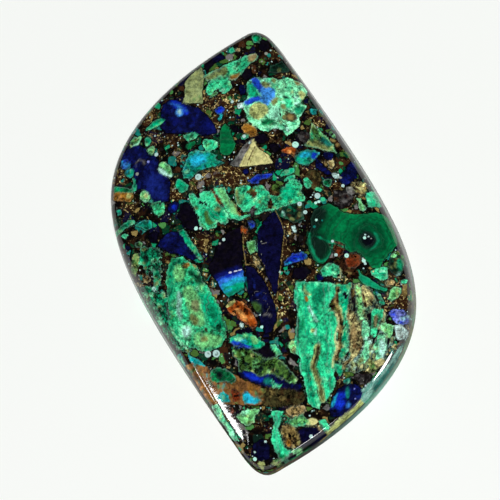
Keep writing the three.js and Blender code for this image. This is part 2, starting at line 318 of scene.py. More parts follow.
MINT_BARS = [
    ("mint", [(-5.4, 4.0), (-5.0, 4.0), (-4.65, 3.65), (-4.35, 3.55), (-4.4, 4.05), (-3.9, 4.15), (-3.55, 4.05),
     (-3.3, 4.4), (-2.5, 4.4), (-2.35, 3.9), (-2.1, 3.5), (-1.9, 2.7), (-1.6, 2.3), (-1.15, 2.1), (-0.65, 2.2),
     (-0.8, 2.0), (-1.2, 1.9), (-1.6, 1.85), (-2.0, 1.9), (-2.2, 2.1), (-2.3, 1.9), (-2.2, 1.7), (-2.4, 1.5),
     (-2.7, 1.65), (-3.0, 1.7), (-3.2, 1.35), (-3.6, 1.2), (-3.9, 1.1), (-4.3, 1.4), (-4.55, 1.75), (-4.5, 2.1),
     (-4.75, 2.5), (-5.0, 3.0), (-5.2, 3.5)], {"along": -50}),
    ("ink", [(-4.5, 3.4), (-4.3, 3.4), (-4.2, 3.25), (-4.0, 3.4), (-3.8, 3.2), (-3.9, 2.95), (-4.0, 3.0),
     (-4.1, 3.2), (-4.3, 3.05), (-4.4, 3.2), (-4.5, 3.1)]),
    ("rust", [(-3.65, 4.35), (-3.4, 4.3), (-3.2, 3.9), (-2.85, 3.6), (-2.65, 3.3), (-2.5, 2.9), (-2.8, 3.0),
     (-3.05, 3.3), (-3.3, 3.75), (-3.5, 4.05)], {"along": -50}),
    ("copper", [(-2.1, 3.4), (-1.85, 3.3), (-1.6, 2.9), (-1.4, 2.4), (-1.15, 2.15), (-1.5, 2.2), (-1.75, 2.5),
     (-1.95, 2.7)], {"along": -60}),
    ("mint", [(-1.7, 4.3), (-1.3, 4.4), (-0.7, 4.55), (-0.5, 4.4), (0.1, 4.5), (0.5, 4.5), (0.8, 4.2), (1.0, 4.0),
     (1.1, 3.7), (1.7, 3.7), (1.9, 3.9), (2.0, 4.3), (2.3, 4.5), (2.6, 4.95), (2.9, 4.95), (3.3, 4.85), (3.5, 4.5),
     (3.45, 4.0), (3.75, 3.65), (3.7, 3.35), (3.2, 3.2), (2.3, 2.9), (1.7, 2.7), (1.2, 2.55), (0.7, 2.5),
     (0.3, 2.3), (0.0, 2.2), (-0.1, 2.6), (-0.3, 2.9), (-0.5, 2.5), (-0.9, 2.4), (-1.2, 2.7), (-1.5, 3.1),
     (-1.65, 3.5)], {"along": 10}),
    ("umber", [(-0.8, 4.0), (-0.5, 4.3), (-0.3, 4.45), (0.0, 4.15), (0.05, 3.7), (-0.2, 3.55), (-0.5, 3.7)]),
    ("umber", [(1.05, 4.2), (1.3, 4.55), (1.7, 4.55), (1.95, 4.3), (1.95, 3.9), (1.5, 3.65), (1.1, 3.85)],
     {"eye": (1.5, 4.1)}),
    ("coal", [(-0.5, 2.4), (-0.4, 2.8), (-0.2, 2.95), (0.05, 2.7), (-0.1, 2.3), (-0.3, 2.0), (-0.5, 2.2)]),
    ("umber", [(1.0, 3.4), (1.2, 3.45), (1.3, 2.9), (1.15, 2.65), (0.8, 2.65), (0.9, 2.9)]),
    ("bottle", [(1.4, 2.5), (2.3, 2.85), (3.3, 3.15), (3.65, 3.1), (3.7, 1.9), (3.0, 1.6), (2.3, 1.9), (1.9, 2.1)]),
    ("crystal", [(2.75, 1.25), (2.95, 1.3), (3.1, 0.8), (2.85, 0.85)]),
    ("night", [(-6.0, 3.2), (-5.4, 3.3), (-4.8, 2.4), (-4.5, 1.5), (-5.0, 1.1), (-5.6, 1.4), (-6.1, 2.2)]),
    ("royal", [(-0.7, 1.7), (-0.2, 1.7), (-0.1, 1.3), (-0.4, 1.1)]),
    ("sea", [(-11.5, 1.4), (-10.9, 1.8), (-10.3, 2.2), (-9.9, 2.15), (-9.7, 1.9), (-10.1, 1.8), (-10.6, 1.55),
     (-11.0, 1.25), (-11.5, 1.0)], {"soft": 1, "along": 25}),
    ("teal", [(-9.75, 1.7), (-9.4, 1.95), (-9.0, 2.05), (-8.45, 2.0), (-8.35, 1.5), (-8.8, 1.3), (-9.2, 1.55)],
     {"along": 10}),
    ("teal", [(-11.3, 3.0), (-10.95, 3.05), (-10.85, 2.75), (-11.2, 2.65)]),
    ("mint", [(-10.9, 0.95), (-10.6, 1.15), (-10.3, 1.0), (-10.5, 0.75)]),
    ("moss", [(-9.7, 0.3), (-9.4, 0.45), (-9.1, 0.25), (-9.2, 0.0), (-9.6, 0.0)]),
    ("ink", [(-8.6, 0.85), (-8.2, 1.15), (-7.9, 1.0), (-7.95, 0.3), (-8.4, 0.35)]),
]

LEFT_MIDDLE = [
    ("azurite", [(-7.9, 0.0), (-7.6, 0.45), (-7.0, 0.85), (-6.5, 1.0), (-6.05, 1.05), (-5.7, 0.7), (-5.5, 0.1),
     (-5.3, -0.3), (-4.9, -0.75), (-4.75, -1.05), (-5.0, -1.25), (-5.5, -0.95), (-6.0, -0.7), (-6.5, -0.55),
     (-6.8, -0.6), (-7.1, -0.35), (-7.5, -0.15)], {"along": -30}),
    ("sea", [(-6.15, 1.1), (-5.8, 1.2), (-5.55, 0.9), (-5.25, 0.4), (-4.85, -0.2), (-4.55, -0.7), (-4.2, -1.1),
     (-4.45, -1.25), (-4.85, -0.8), (-5.25, -0.2), (-5.6, 0.2), (-5.9, 0.7)], {"along": -55}),
    ("ragged sea", [(-9.3, -0.2), (-8.9, 0.0), (-7.7, -0.25), (-7.6, -0.8), (-7.8, -1.1), (-7.6, -1.5),
     (-7.7, -2.3), (-7.6, -2.7), (-7.9, -3.4), (-8.3, -3.3), (-8.1, -2.5), (-8.2, -1.8), (-8.7, -2.1), (-9.1, -1.5),
     (-9.5, -1.2), (-9.4, -0.7)]),
    ("olive", [(-9.95, -0.6), (-9.5, -0.45), (-9.4, -1.0), (-9.6, -1.8), (-9.8, -2.25), (-10.15, -1.9),
     (-10.0, -1.2)], {"along": 80}),
    ("tan", [(-9.05, -2.45), (-8.65, -2.2), (-8.4, -2.5), (-8.7, -2.85), (-9.0, -2.75)], {"soft": 1}),
    ("tan", [(-9.7, -2.8), (-9.45, -2.65), (-9.25, -2.9), (-9.45, -3.15)], {"soft": 1}),
    ("dark emerald", [(-9.5, -3.35), (-9.0, -3.2), (-8.9, -3.7), (-9.2, -3.85)], {"soft": 1}),
    ("umber", [(-7.3, -1.0), (-6.9, -0.75), (-6.55, -1.0), (-6.7, -1.45), (-7.1, -1.4)], {"soft": 1}),
    ("night", [(-1.2, 1.3), (-1.15, -0.4), (-1.1, -2.05), (-2.1, -2.35), (-3.2, -2.8), (-3.8, -1.9), (-3.4, -1.3),
     (-2.9, 0.2), (-2.2, 0.8)]),
    ("leaf", [(-0.75, 0.1), (-0.1, 0.2), (0.0, -0.65), (-0.4, -0.85), (-0.65, -0.4)]),
    ("orange", [(-1.25, 1.35), (-0.95, 1.35), (-0.65, 1.0), (-0.8, 0.75), (-1.1, 0.85)], {"soft": 1}),
    ("royal", [(-0.65, 1.55), (-0.3, 1.65), (-0.15, 1.35), (-0.4, 1.1)], {"soft": 1}),
    ("tan", [(-0.2, -1.0), (0.25, -1.55), (0.5, -2.1), (0.15, -1.9), (-0.15, -1.5)]),
    ("blade", [(1.4, 2.45), (1.8, 1.7), (2.1, 0.9), (1.95, -0.4), (1.8, -1.4), (1.65, -3.3), (1.55, -3.9),
     (1.3, -3.65), (0.95, -2.6), (0.6, -1.7), (0.2, -0.9), (0.1, -0.2), (0.2, 0.8), (0.7, 1.7)], {"along": 85}),
    ("blue wedge", [(-3.1, -2.8), (-2.1, -2.35), (-1.05, -2.1), (-0.95, -2.9), (-0.95, -3.5), (-1.6, -3.9),
     (-2.2, -4.2), (-2.6, -3.7), (-2.9, -3.2)], {"along": 17}),
    ("blade", [(-0.75, -1.8), (-0.15, -2.0), (0.25, -2.55), (0.85, -3.55), (1.25, -4.5), (1.5, -5.2), (1.5, -6.0),
     (1.2, -6.8), (0.7, -7.0), (0.4, -6.2), (0.2, -5.7), (-0.4, -4.6), (-0.65, -3.8), (-0.8, -2.9)], {"along": 85}),
    ("royal", [(2.2, -1.5), (2.8, -0.9), (3.7, -0.8), (3.95, -1.0), (3.9, -1.2), (3.2, -1.5), (2.3, -1.8)],
     {"along": 15}),
    ("orange", [(-2.4, -4.9), (-2.2, -4.6), (-1.7, -4.4), (-0.9, -4.7), (-0.5, -5.2), (-0.1, -5.9), (0.0, -6.3),
     (-0.3, -6.7), (-0.6, -6.4), (-1.2, -6.0), (-1.8, -5.6), (-2.2, -5.2)], {"along": -45}),
    ("ink", [(-1.75, -6.9), (-0.9, -6.55), (-0.3, -6.8), (-0.3, -7.05), (-1.2, -7.1)], {"soft": 1}),
    ("night", [(3.0, -2.1), (3.9, -1.9), (4.2, -2.3), (3.6, -2.9), (2.8, -2.7)]),
]

EYE = (8.6, 0.3)
EMERALD = [
    ("emerald", [(4.5, 2.6), (5.0, 2.85), (5.6, 3.05), (6.1, 2.75), (6.7, 2.4), (7.4, 2.25), (8.0, 2.3),
     (8.6, 2.35), (9.2, 2.5), (9.8, 2.35), (10.3, 1.9), (10.6, 1.2), (10.8, 0.4), (10.8, 0.0), (10.6, -0.35),
     (10.3, -0.6), (10.0, -0.9), (9.8, -1.3), (9.5, -1.85), (9.2, -1.95), (8.8, -1.75), (8.5, -1.3), (8.1, -0.8),
     (7.7, -0.6), (7.2, -0.75), (6.9, -0.4), (6.8, 0.0), (6.3, 0.15), (5.9, 0.1), (5.5, -0.1), (5.7, -0.4),
     (5.8, -0.8), (5.6, -1.1), (5.2, -1.65), (4.8, -1.6), (4.4, -1.2), (4.1, -0.5), (3.95, 0.0), (4.1, 0.5),
     (4.3, 1.2), (4.25, 1.9)], {"eye": EYE, "scale": 0.75}),
    ("rust", [(5.55, -0.15), (6.0, 0.0), (6.5, 0.0), (6.75, -0.3), (6.7, -0.9), (6.4, -1.2), (6.0, -0.9),
     (5.85, -0.5)], {"soft": 1}),
    ("rust", [(6.85, -1.3), (7.1, -0.85), (7.6, -0.75), (8.0, -1.05), (8.05, -1.6), (7.7, -1.95), (7.15, -1.9),
     (6.85, -1.6)], {"soft": 1}),
    ("umber", [(5.8, -1.2), (6.8, -1.3), (7.1, -2.0), (8.0, -2.2), (7.9, -2.9), (6.9, -2.6), (6.3, -1.9)],
     {"soft": 1}),
    ("mint", [(4.95, -2.2), (5.3, -1.8), (5.8, -1.65), (6.25, -1.75), (6.5, -2.2), (6.55, -2.7), (6.2, -2.8),
     (5.8, -2.55), (5.4, -2.6), (5.1, -2.55)], {"soft": 1, "eye": (5.8, -2.1)}),
    ("azurite", [(4.7, -2.6), (5.0, -2.4), (5.25, -2.7), (5.0, -3.0), (4.75, -2.9)], {"soft": 1}),
    ("jade", [(7.85, -2.1), (8.1, -2.5), (8.7, -2.8), (9.1, -3.1), (9.6, -3.4), (10.05, -3.55), (9.95, -3.75),
     (9.3, -3.55), (8.7, -3.35), (8.2, -3.1), (7.95, -2.8)], {"along": -30, "straight": True}),
    ("mint", [(8.8, -2.25), (9.2, -2.0), (9.5, -1.9), (10.05, -1.9), (10.05, -2.7), (9.6, -2.85), (9.2, -2.65),
     (8.9, -2.45)], {"along": 0, "scale": 2.0}),
    ("bottle", [(10.4, -1.0), (11.0, -0.85), (11.35, -1.3), (11.25, -2.0), (10.95, -2.55), (10.4, -2.3),
     (10.2, -1.8)], {"soft": 1}),
    ("spring", [(10.3, -0.85), (10.6, -0.7), (10.9, -0.85), (10.6, -1.1)], {"soft": 1}),
    ("mint", [(11.1, -2.8), (11.55, -2.7), (11.55, -3.0), (11.2, -3.1)], {"soft": 1}),
    ("tan", [(9.9, -2.95), (10.4, -2.8), (10.6, -3.2), (10.1, -3.4)], {"soft": 1}),
    ("teal", [(9.1, -3.7), (9.5, -3.95), (9.65, -4.3), (9.4, -4.35)]),
    ("spring", [(10.15, -4.3), (10.3, -3.7), (10.6, -3.4), (11.1, -3.45), (11.1, -3.9), (10.4, -4.5)]),
    ("sea", [(9.4, -4.6), (9.65, -4.35), (9.85, -4.65), (9.65, -4.9)], {"soft": 1}),
    ("violet", [(10.2, -5.45), (10.45, -5.15), (11.3, -5.2), (11.8, -5.7), (11.6, -6.1), (11.1, -6.3),
     (10.6, -6.1)]),
]

RIGHT_COLUMNS = [
    ("columns", [(7.3, -3.2), (8.6, -3.4), (9.4, -4.9), (10.0, -5.6), (9.6, -6.6), (10.6, -7.4), (9.4, -9.7),
     (7.4, -10.0), (6.3, -9.6), (6.9, -5.5)], {"along": 78, "scale": 1.5}),
    ("night", [(7.35, -4.2), (7.7, -4.6), (7.7, -5.4), (7.4, -5.3)]),
    ("night", [(8.5, -5.5), (8.9, -5.4), (8.75, -6.3), (8.6, -6.3)]),
    ("night", [(8.8, -7.3), (9.3, -6.6), (9.5, -6.7), (9.1, -7.5), (8.8, -8.1)]),
    ("night", [(8.3, -5.3), (8.6, -5.6), (8.85, -6.6), (8.8, -7.3), (8.6, -7.2), (8.6, -6.2)]),
    ("night", [(9.95, -7.4), (10.4, -7.1), (10.1, -8.0), (9.9, -8.4)]),
    ("bark", [(9.0, -9.2), (9.6, -8.8), (9.8, -9.2), (9.0, -9.9), (8.2, -9.9)]),
    ("bark", [(7.0, -5.0), (7.5, -5.4), (7.7, -5.9), (8.0, -6.4), (8.2, -7.1), (8.2, -7.8), (8.0, -8.4),
     (7.6, -8.8), (6.9, -9.4), (6.7, -9.8), (6.5, -9.4), (7.1, -8.9), (7.2, -8.1), (7.1, -7.3), (7.2, -6.6),
     (7.1, -6.0), (6.9, -5.4)], {"along": 65, "scale": 2.0}),
    ("bark", [(8.2, -3.3), (8.7, -3.7), (9.0, -4.2), (8.9, -4.9), (8.7, -4.8), (8.3, -5.1), (8.2, -4.5),
     (8.1, -3.8)], {"along": 100, "scale": 2.0}),
    ("olive mint", [(7.7, -3.3), (8.0, -3.5), (8.1, -4.1), (8.2, -4.7), (8.1, -5.4), (8.3, -5.9), (8.0, -6.0),
     (7.75, -5.4), (7.7, -4.7), (7.8, -4.1), (7.6, -3.6)], {"along": 85}),
    ("pale mint", [(8.2, -5.9), (8.6, -6.3), (8.7, -6.8), (8.5, -7.4), (8.6, -8.0), (8.6, -8.8), (8.3, -9.3),
     (7.9, -9.4), (7.7, -9.3), (8.0, -8.7), (8.3, -8.1), (8.3, -7.6), (8.1, -7.0), (8.1, -6.5)], {"along": 85}),
    ("mint", [(8.9, -5.1), (9.7, -5.1), (9.7, -5.7), (9.4, -6.2), (9.3, -6.8), (9.1, -7.3), (8.75, -7.0),
     (8.8, -6.3), (8.8, -5.6)], {"along": 80}),
    ("pale mint", [(9.3, -7.0), (9.8, -7.1), (9.9, -7.6), (10.0, -8.2), (9.7, -8.7), (9.2, -9.1), (9.1, -8.4),
     (8.9, -8.0), (9.2, -7.6)], {"along": 85}),
    ("spring", [(9.5, -6.5), (9.9, -6.2), (10.5, -6.4), (10.4, -7.0), (10.2, -7.4), (9.9, -7.1)], {"along": 70}),
    ("crystal", [(10.6, -6.4), (11.1, -6.3), (11.5, -6.7), (11.3, -7.3), (10.8, -7.4)], {"along": -60}),
    ("olive", [(8.6, -8.9), (9.0, -9.2), (9.2, -9.8), (8.7, -9.9), (8.5, -9.3)]),
    ("sea", [(6.0, -9.5), (6.5, -9.45), (6.6, -10.0), (6.3, -10.3), (6.1, -10.0)]),
    ("coal", [(7.2, -10.4), (7.9, -10.1), (8.8, -10.2), (8.6, -10.9), (7.9, -10.9)]),
]

WAVY_MINT = [
    ("olive mint", [(2.7, -7.6), (3.1, -7.7), (3.0, -8.5), (2.6, -8.5), (2.4, -8.0)]),
    ("umber", [(6.2, -3.1), (6.6, -3.1), (6.4, -4.1), (6.4, -4.8), (6.7, -5.5), (6.8, -6.5), (6.5, -7.1),
     (6.6, -7.8), (6.4, -8.4), (6.2, -9.2), (5.9, -9.4), (5.9, -8.4), (6.2, -7.4), (6.3, -6.9), (6.4, -6.3),
     (6.1, -5.6), (5.7, -5.2), (5.6, -4.6), (6.0, -4.3)], {"along": 90}),
    ("sea", [(6.5, -3.3), (7.3, -3.2), (7.2, -3.6), (7.15, -4.2), (7.05, -4.8), (6.95, -5.3), (6.95, -5.8),
     (7.05, -6.3), (7.1, -6.8), (7.05, -7.3), (7.1, -7.8), (7.0, -8.4), (6.6, -8.9), (6.3, -8.9), (6.4, -8.4),
     (6.6, -8.0), (6.45, -7.6), (6.6, -7.0), (6.7, -6.4), (6.65, -5.8), (6.5, -5.3), (6.4, -4.9), (6.3, -4.3),
     (6.35, -3.7)], {"along": 88}),
    ("ink", [(6.75, -3.8), (7.0, -3.85), (7.05, -4.3), (6.8, -4.4), (6.7, -4.1)]),
    ("umber", [(7.3, -3.6), (7.55, -3.5), (7.65, -4.2), (7.4, -4.5), (7.25, -4.2)]),
    ("flowing mint", [(3.0, -3.2), (3.6, -3.1), (4.8, -3.1), (5.9, -3.2), (6.1, -3.7), (6.1, -4.2), (5.7, -4.5),
     (5.6, -5.0), (6.0, -5.3), (6.3, -5.8), (6.35, -6.4), (6.1, -7.0), (6.1, -7.5), (6.25, -7.8), (6.15, -8.4),
     (5.9, -9.0), (6.0, -9.6), (5.8, -10.2), (6.0, -10.7), (5.8, -11.3), (5.4, -11.9), (5.1, -12.3), (4.8, -12.3),
     (4.7, -12.8), (4.2, -12.6), (3.9, -12.2), (3.8, -11.5), (3.7, -11.0), (3.6, -10.4), (3.3, -9.9), (3.3, -9.4),
     (3.4, -8.9), (3.0, -8.4), (2.9, -7.7), (3.0, -7.1), (3.1, -6.5), (3.1, -6.0), (3.25, -5.4), (3.1, -4.9),
     (2.9, -4.3), (3.0, -3.7)], {"along": 93}),
    ("slate", [(5.0, -12.7), (5.4, -12.4), (5.5, -12.8), (5.3, -12.95)]),
]

LOWER_MIDDLE = [
    ("sea", [(-2.2, -7.6), (-2.0, -7.3), (-1.4, -7.1), (-0.8, -7.0), (-0.2, -7.2), (0.3, -7.6), (0.6, -7.9),
     (0.4, -8.1), (-0.1, -8.2), (-0.6, -8.2), (-1.2, -8.1), (-1.8, -7.9)], {"along": -10, "scale": 1.6}),
    ("night", [(0.2, -8.25), (0.5, -8.0), (0.9, -7.9), (1.15, -8.2), (1.5, -8.75), (0.9, -8.95), (0.4, -8.75),
     (0.0, -8.45)], {"soft": 1}),
    ("mint", [(1.1, -7.95), (1.4, -7.9), (1.95, -8.65), (1.5, -8.7)], {"along": -50}),
    ("moss", [(-1.85, -8.0), (-1.2, -7.98), (-0.7, -8.1), (-0.2, -8.5), (0.3, -8.75), (0.5, -9.0), (1.0, -9.02),
     (1.6, -8.9), (1.95, -9.2), (2.3, -9.6), (2.7, -10.1), (3.15, -10.55), (2.9, -10.85), (2.3, -10.75),
     (1.8, -10.45), (1.2, -10.15), (0.6, -10.2), (0.2, -10.35), (-0.3, -10.05), (-0.8, -9.85), (-1.35, -9.9),
     (-1.4, -9.4), (-1.5, -9.0), (-1.95, -8.7)]),
    ("azurite", [(-1.45, -9.95), (-0.9, -9.88), (-0.35, -10.08), (0.15, -10.38), (0.6, -10.25), (1.2, -10.2),
     (1.8, -10.5), (2.4, -10.8), (3.0, -10.88), (3.35, -10.9), (3.5, -11.2), (3.0, -11.4), (2.4, -11.35),
     (1.7, -11.2), (1.0, -11.15), (0.3, -11.0), (-0.5, -10.7), (-1.2, -10.3)], {"along": -15}),
    ("mint", [(1.05, -10.45), (1.3, -10.8), (1.9, -11.0), (1.7, -11.2), (1.1, -11.12)]),
    ("smoke", [(0.4, -11.15), (1.5, -11.2), (3.5, -11.4), (3.7, -12.0), (3.2, -12.5), (2.4, -12.5), (1.0, -12.7),
     (0.3, -12.4)], {"soft": 1}),
    ("crystal", [(-1.35, -6.35), (-1.15, -6.2), (-0.95, -6.4), (-1.15, -6.6)], {"soft": 1}),
]

BIG_GREEN = [
    ("mottled green", [(-6.65, -0.95), (-5.9, -1.0), (-5.5, -1.3), (-5.0, -1.6), (-4.7, -1.8), (-4.45, -2.4),
     (-4.2, -2.9), (-3.85, -3.3), (-3.5, -4.0), (-3.2, -4.4), (-2.95, -5.0), (-2.6, -5.9), (-2.4, -6.6),
     (-2.45, -7.3), (-2.8, -7.9), (-3.4, -8.15), (-4.0, -8.25), (-4.5, -8.2), (-4.9, -8.05), (-5.3, -7.95),
     (-5.8, -8.05), (-6.2, -7.7), (-6.6, -7.2), (-7.0, -6.7), (-7.05, -6.1), (-6.95, -5.4), (-7.05, -4.4),
     (-7.1, -3.6), (-7.15, -2.5), (-6.95, -1.6)], {"along": 75}),
    ("ragged sea", [(-9.4, -3.2), (-8.7, -3.1), (-8.1, -3.5), (-7.6, -3.6), (-7.15, -3.9), (-7.15, -4.9),
     (-7.05, -5.6), (-7.25, -6.1), (-6.9, -6.8), (-6.3, -7.5), (-5.3, -8.1), (-5.5, -8.4), (-6.3, -8.0),
     (-7.0, -7.3), (-7.9, -6.0), (-8.6, -5.1), (-9.1, -4.0)]),
    ("turquoise", [(-6.5, -8.5), (-6.2, -8.4), (-5.8, -9.1), (-5.9, -9.35), (-6.5, -8.9)]),
    ("turquoise", [(-5.5, -8.6), (-4.5, -9.0), (-4.1, -9.45), (-4.6, -9.4), (-5.2, -9.1)]),
]

LOWER_LEFT = [
    ("copper", [(-5.8, -9.3), (-5.0, -9.2), (-3.9, -9.5), (-3.8, -10.3), (-3.1, -10.9), (-2.6, -10.5),
     (-1.9, -10.1), (-1.2, -10.5), (-0.4, -10.9), (0.4, -11.3), (0.6, -11.5), (0.4, -12.3), (0.0, -12.5),
     (-2.1, -12.4), (-2.9, -12.3), (-3.8, -12.4), (-4.4, -11.5), (-5.1, -10.4)], {"along": -50}),
    ("dark emerald", [(-3.8, -10.1), (-3.4, -9.6), (-2.7, -9.6), (-1.9, -10.1), (-1.7, -10.5), (-2.0, -10.9),
     (-2.6, -10.6), (-3.3, -10.7), (-3.7, -10.6)], {"soft": 1}),
    ("turquoise", [(-3.2, -11.6), (-2.7, -11.4), (-2.3, -11.7), (-2.2, -12.2), (-2.8, -12.3), (-3.2, -11.9)]),
    ("rust", [(-2.1, -11.4), (-1.8, -11.2), (-1.4, -11.5), (-1.4, -12.1), (-1.8, -12.3), (-2.0, -12.0)]),
    ("turquoise", [(-1.2, -11.6), (-0.8, -11.5), (-0.5, -11.9), (0.2, -12.1), (0.0, -12.4), (-1.0, -12.4),
     (-1.2, -12.0)]),
    ("pale mint", [(-3.8, -12.5), (-3.2, -12.4), (-2.8, -13.2), (-2.2, -14.2), (-1.7, -14.8), (-1.6, -15.2),
     (-2.0, -15.1), (-2.7, -14.1), (-3.4, -13.2)], {"along": -55}),
    ("spring", [(0.2, -12.9), (-0.7, -12.8), (-1.3, -13.0), (-1.7, -13.3), (-1.4, -13.8), (-0.9, -14.1),
     (-0.4, -13.8), (-0.2, -13.3)], {"along": 40}),
    ("rust", [(-2.4, -12.7), (-2.0, -12.65), (-2.0, -13.1), (-2.2, -13.2)]),
    ("blade", [(-0.4, -15.6), (0.3, -15.2), (0.8, -15.6), (0.8, -16.6), (0.1, -16.8), (-0.4, -16.3)]),
    ("khaki", [(-0.1, -16.9), (0.3, -16.8), (0.5, -17.2), (0.3, -17.5), (0.0, -17.3)], {"soft": 1}),
    ("olive", [(0.9, -16.9), (1.6, -16.6), (1.7, -16.9), (1.1, -17.2)], {"soft": 1}),
    ("flowing mint", [(1.1, -13.0), (1.9, -13.0), (1.75, -13.7), (1.5, -14.3), (1.75, -15.2), (2.05, -15.85),
     (2.5, -16.1), (2.2, -16.4), (1.5, -16.0), (1.0, -15.3), (1.1, -14.5), (1.25, -13.8)], {"along": 88}),
    ("dark emerald", [(1.3, -15.95), (2.3, -16.35), (2.0, -16.75), (1.6, -16.6)]),
    ("tan", [(2.1, -13.0), (2.7, -12.6), (3.5, -12.6), (3.75, -13.0), (3.1, -13.25), (2.5, -13.35)]),
    ("leaf", [(2.5, -13.6), (3.4, -13.25), (3.9, -13.7), (4.0, -14.0), (3.0, -14.15), (2.3, -13.9)]),
    ("cream", [(3.95, -13.55), (4.5, -13.55), (4.65, -13.8), (4.2, -14.08), (4.0, -13.9)], {"soft": 1}),
    ("bronze", [(1.9, -13.9), (2.7, -14.1), (3.1, -14.6), (3.2, -15.6), (2.7, -15.9), (2.0, -15.5), (1.8, -14.5)]),
    ("amber", [(2.0, -15.2), (2.4, -15.1), (2.6, -15.6), (2.3, -15.8)], {"soft": 1}),
    ("blade", [(3.1, -14.5), (3.7, -14.2), (5.0, -14.3), (5.3, -14.7), (4.5, -15.2), (3.4, -15.7), (3.2, -15.2)]),
    ("mint", [(4.75, -13.7), (5.1, -13.6), (5.45, -14.1), (5.4, -14.45), (5.1, -14.3)]),
    ("tan", [(4.6, -14.1), (4.85, -14.2), (4.95, -14.5), (4.7, -14.4)]),
    ("spring", [(2.6, -15.9), (3.2, -15.8), (3.3, -16.1), (2.7, -16.3)], {"soft": 1}),
    ("azurite", [(5.7, -12.6), (5.8, -11.9), (6.3, -11.3), (7.1, -10.9), (7.7, -11.0), (8.1, -11.5), (7.8, -12.2),
     (7.2, -12.8), (6.4, -13.35), (5.7, -13.35), (5.5, -12.9)], {"along": 80}),
    ("teal", [(6.6, -10.7), (6.9, -10.45), (7.2, -10.7), (6.9, -10.95)], {"soft": 1}),
]

CHIPS = (RIM + UPPER_TIP + UPPER_LEFT + UPPER_MIDDLE + BIG_MINT + RIGHT_SHOULDER + MINT_BARS + LEFT_MIDDLE + EMERALD
         + RIGHT_COLUMNS + WAVY_MINT + BIG_GREEN + LOWER_MIDDLE + LOWER_LEFT)

